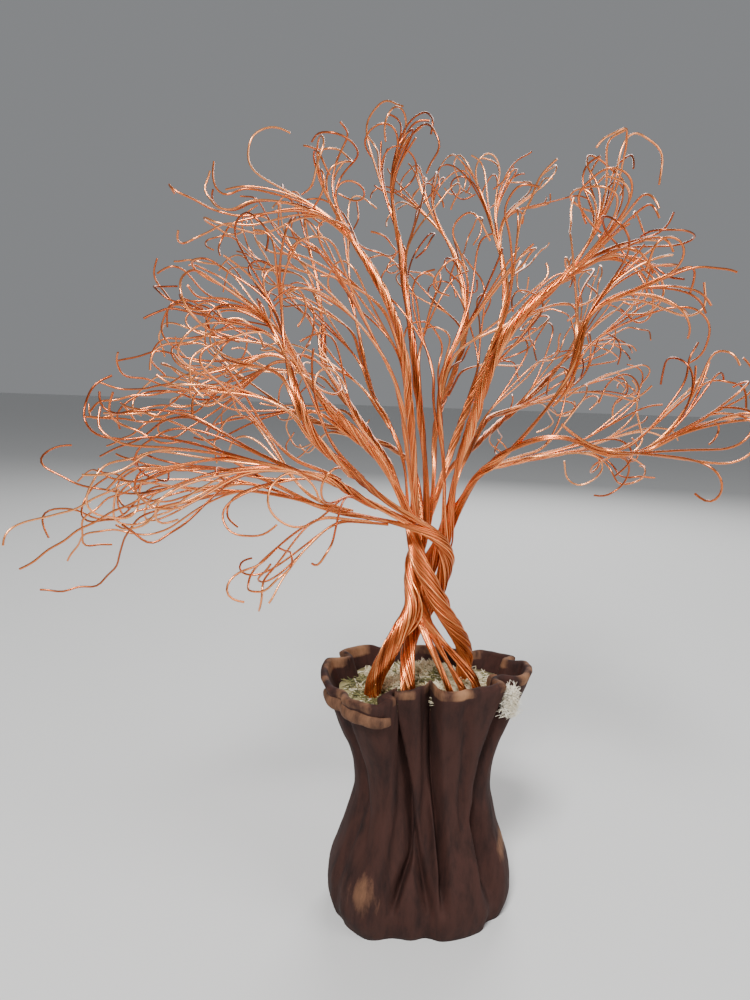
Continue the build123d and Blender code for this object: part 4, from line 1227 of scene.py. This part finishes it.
rows = []
for share in (1.0, 0.85, 0.7, 0.55, 0.4, 0.25, 0.1):
    for x, y in bed[::8] * share:
        rows.append((x, y, MOSS_TOP - 0.6 + 1.0 * noise.noise(Vector((x * 0.16, y * 0.16, 0.4)))))
around = len(bed[::8])
for x, y in bed[::8]:
    rows.append((x, y, MOSS_TOP - 4.0))
under = 7 * around
faces = walls(7, around)
faces += [(i, under + i, under + (i + 1) % around, (i + 1) % around) for i in range(around)]
faces.append(tuple(6 * around + i for i in range(around)))
faces.append(tuple(under + around - 1 - i for i in range(around)))
tones = np.tile([0.34, 0.34, 0.34, 1.0], (len(rows), 1))
settle(make_object("moss_ground", np.array(rows), faces, MOSS, tones), "moss", "moss_bed")
shreds("moss_shreds", MOSS, 3200, on_bed, 3.2, 0.24, (0.0, 0.6), True, "moss")

for node in ("moss_tuft_left", "moss_tuft_centre", "moss_tuft_back"):
    low, high = [[1000.0 * c for c in corner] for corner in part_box(node)]

    def on_tuft():
        a, r = strew.uniform(0, 2 * math.pi), math.sqrt(strew.random()) * 0.42
        dome = 1.0 - (r / 0.5) ** 2
        return (0.5 * (low[0] + high[0]) + r * (high[0] - low[0]) * math.cos(a),
                0.5 * (low[1] + high[1]) + r * (high[1] - low[1]) * math.sin(a),
                MOSS_TOP - 0.8 + dome * (high[2] - MOSS_TOP) * strew.uniform(0.3, 1.0))

    shreds(node + "_shreds", MOSS, 420, on_tuft, 2.8, 0.22, (0.1, 0.9), True, "moss", node)

low, high = [[1000.0 * c for c in corner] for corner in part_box("fibre_tuft")]


def in_tuft():
    a, r = strew.uniform(0, 2 * math.pi), math.sqrt(strew.random()) * 0.5
    return (0.5 * (low[0] + high[0]) + r * (high[0] - low[0]) * math.cos(a),
            0.5 * (low[1] + high[1]) + r * (high[1] - low[1]) * math.sin(a),
            strew.uniform(low[2], high[2] - 2.5))


shreds("fibre_shreds", FIBRE, 560, in_tuft, 2.5, 0.15, (-0.3, 1.3), False, "fibre", "fibre_tuft")


# ---- stage, light and camera ----
floor_mesh = bpy.data.meshes.new("floor")
floor_mesh.from_pydata([(-20, -20, 0), (20, -20, 0), (20, 20, 0), (-20, 20, 0)], [], [(0, 1, 2, 3)])
floor = bpy.data.objects.new("floor", floor_mesh)
floor_material, tree, shader = new_material("floor")
fill_in(shader, Base_Color=(0.72, 0.72, 0.71, 1.0), Roughness=0.8)
floor_mesh.materials.append(floor_material)
bpy.context.scene.collection.objects.link(floor)
floor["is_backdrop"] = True


def soft_light(name, place, aim, size, power):
    data = bpy.data.lights.new(name, "AREA")
    data.size = size
    data.energy = power
    lamp = bpy.data.objects.new(name, data)
    lamp.location = place
    lamp.rotation_euler = (Vector(aim) - Vector(place)).to_track_quat("-Z", "Y").to_euler()
    bpy.context.scene.collection.objects.link(lamp)


STUDIO_AIM = (0.0, 0.0, 0.12)
soft_light("key", (-0.25, -0.75, 0.95), STUDIO_AIM, 0.26, 17)
soft_light("fill", (0.8, -0.5, 0.5), STUDIO_AIM, 0.6, 5)
soft_light("back", (0.2, 0.9, 0.7), STUDIO_AIM, 0.6, 7)
world = bpy.data.worlds.new("studio")
world.use_nodes = True
world.node_tree.nodes["Background"].inputs["Color"].default_value = (0.8, 0.82, 0.85, 1.0)
world.node_tree.nodes["Background"].inputs["Strength"].default_value = 0.30
bpy.context.scene.world = world

# The viewer stands close, a little above the trunk, and tips the picture slightly.
EYE = (-0.018, -0.223, 0.157)
LOOK_DOWN = math.radians(7.6)
TIP = math.radians(2.0)
camera_data = bpy.data.cameras.new("camera")
camera_data.lens = 27.04
camera = bpy.data.objects.new("camera", camera_data)
camera.location = EYE
turned = Matrix.Rotation(math.radians(90) - LOOK_DOWN, 3, "X") @ Matrix.Rotation(TIP, 3, "Z")
camera.rotation_euler = turned.to_euler()
bpy.context.scene.collection.objects.link(camera)
bpy.context.scene.camera = camera

low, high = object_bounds()
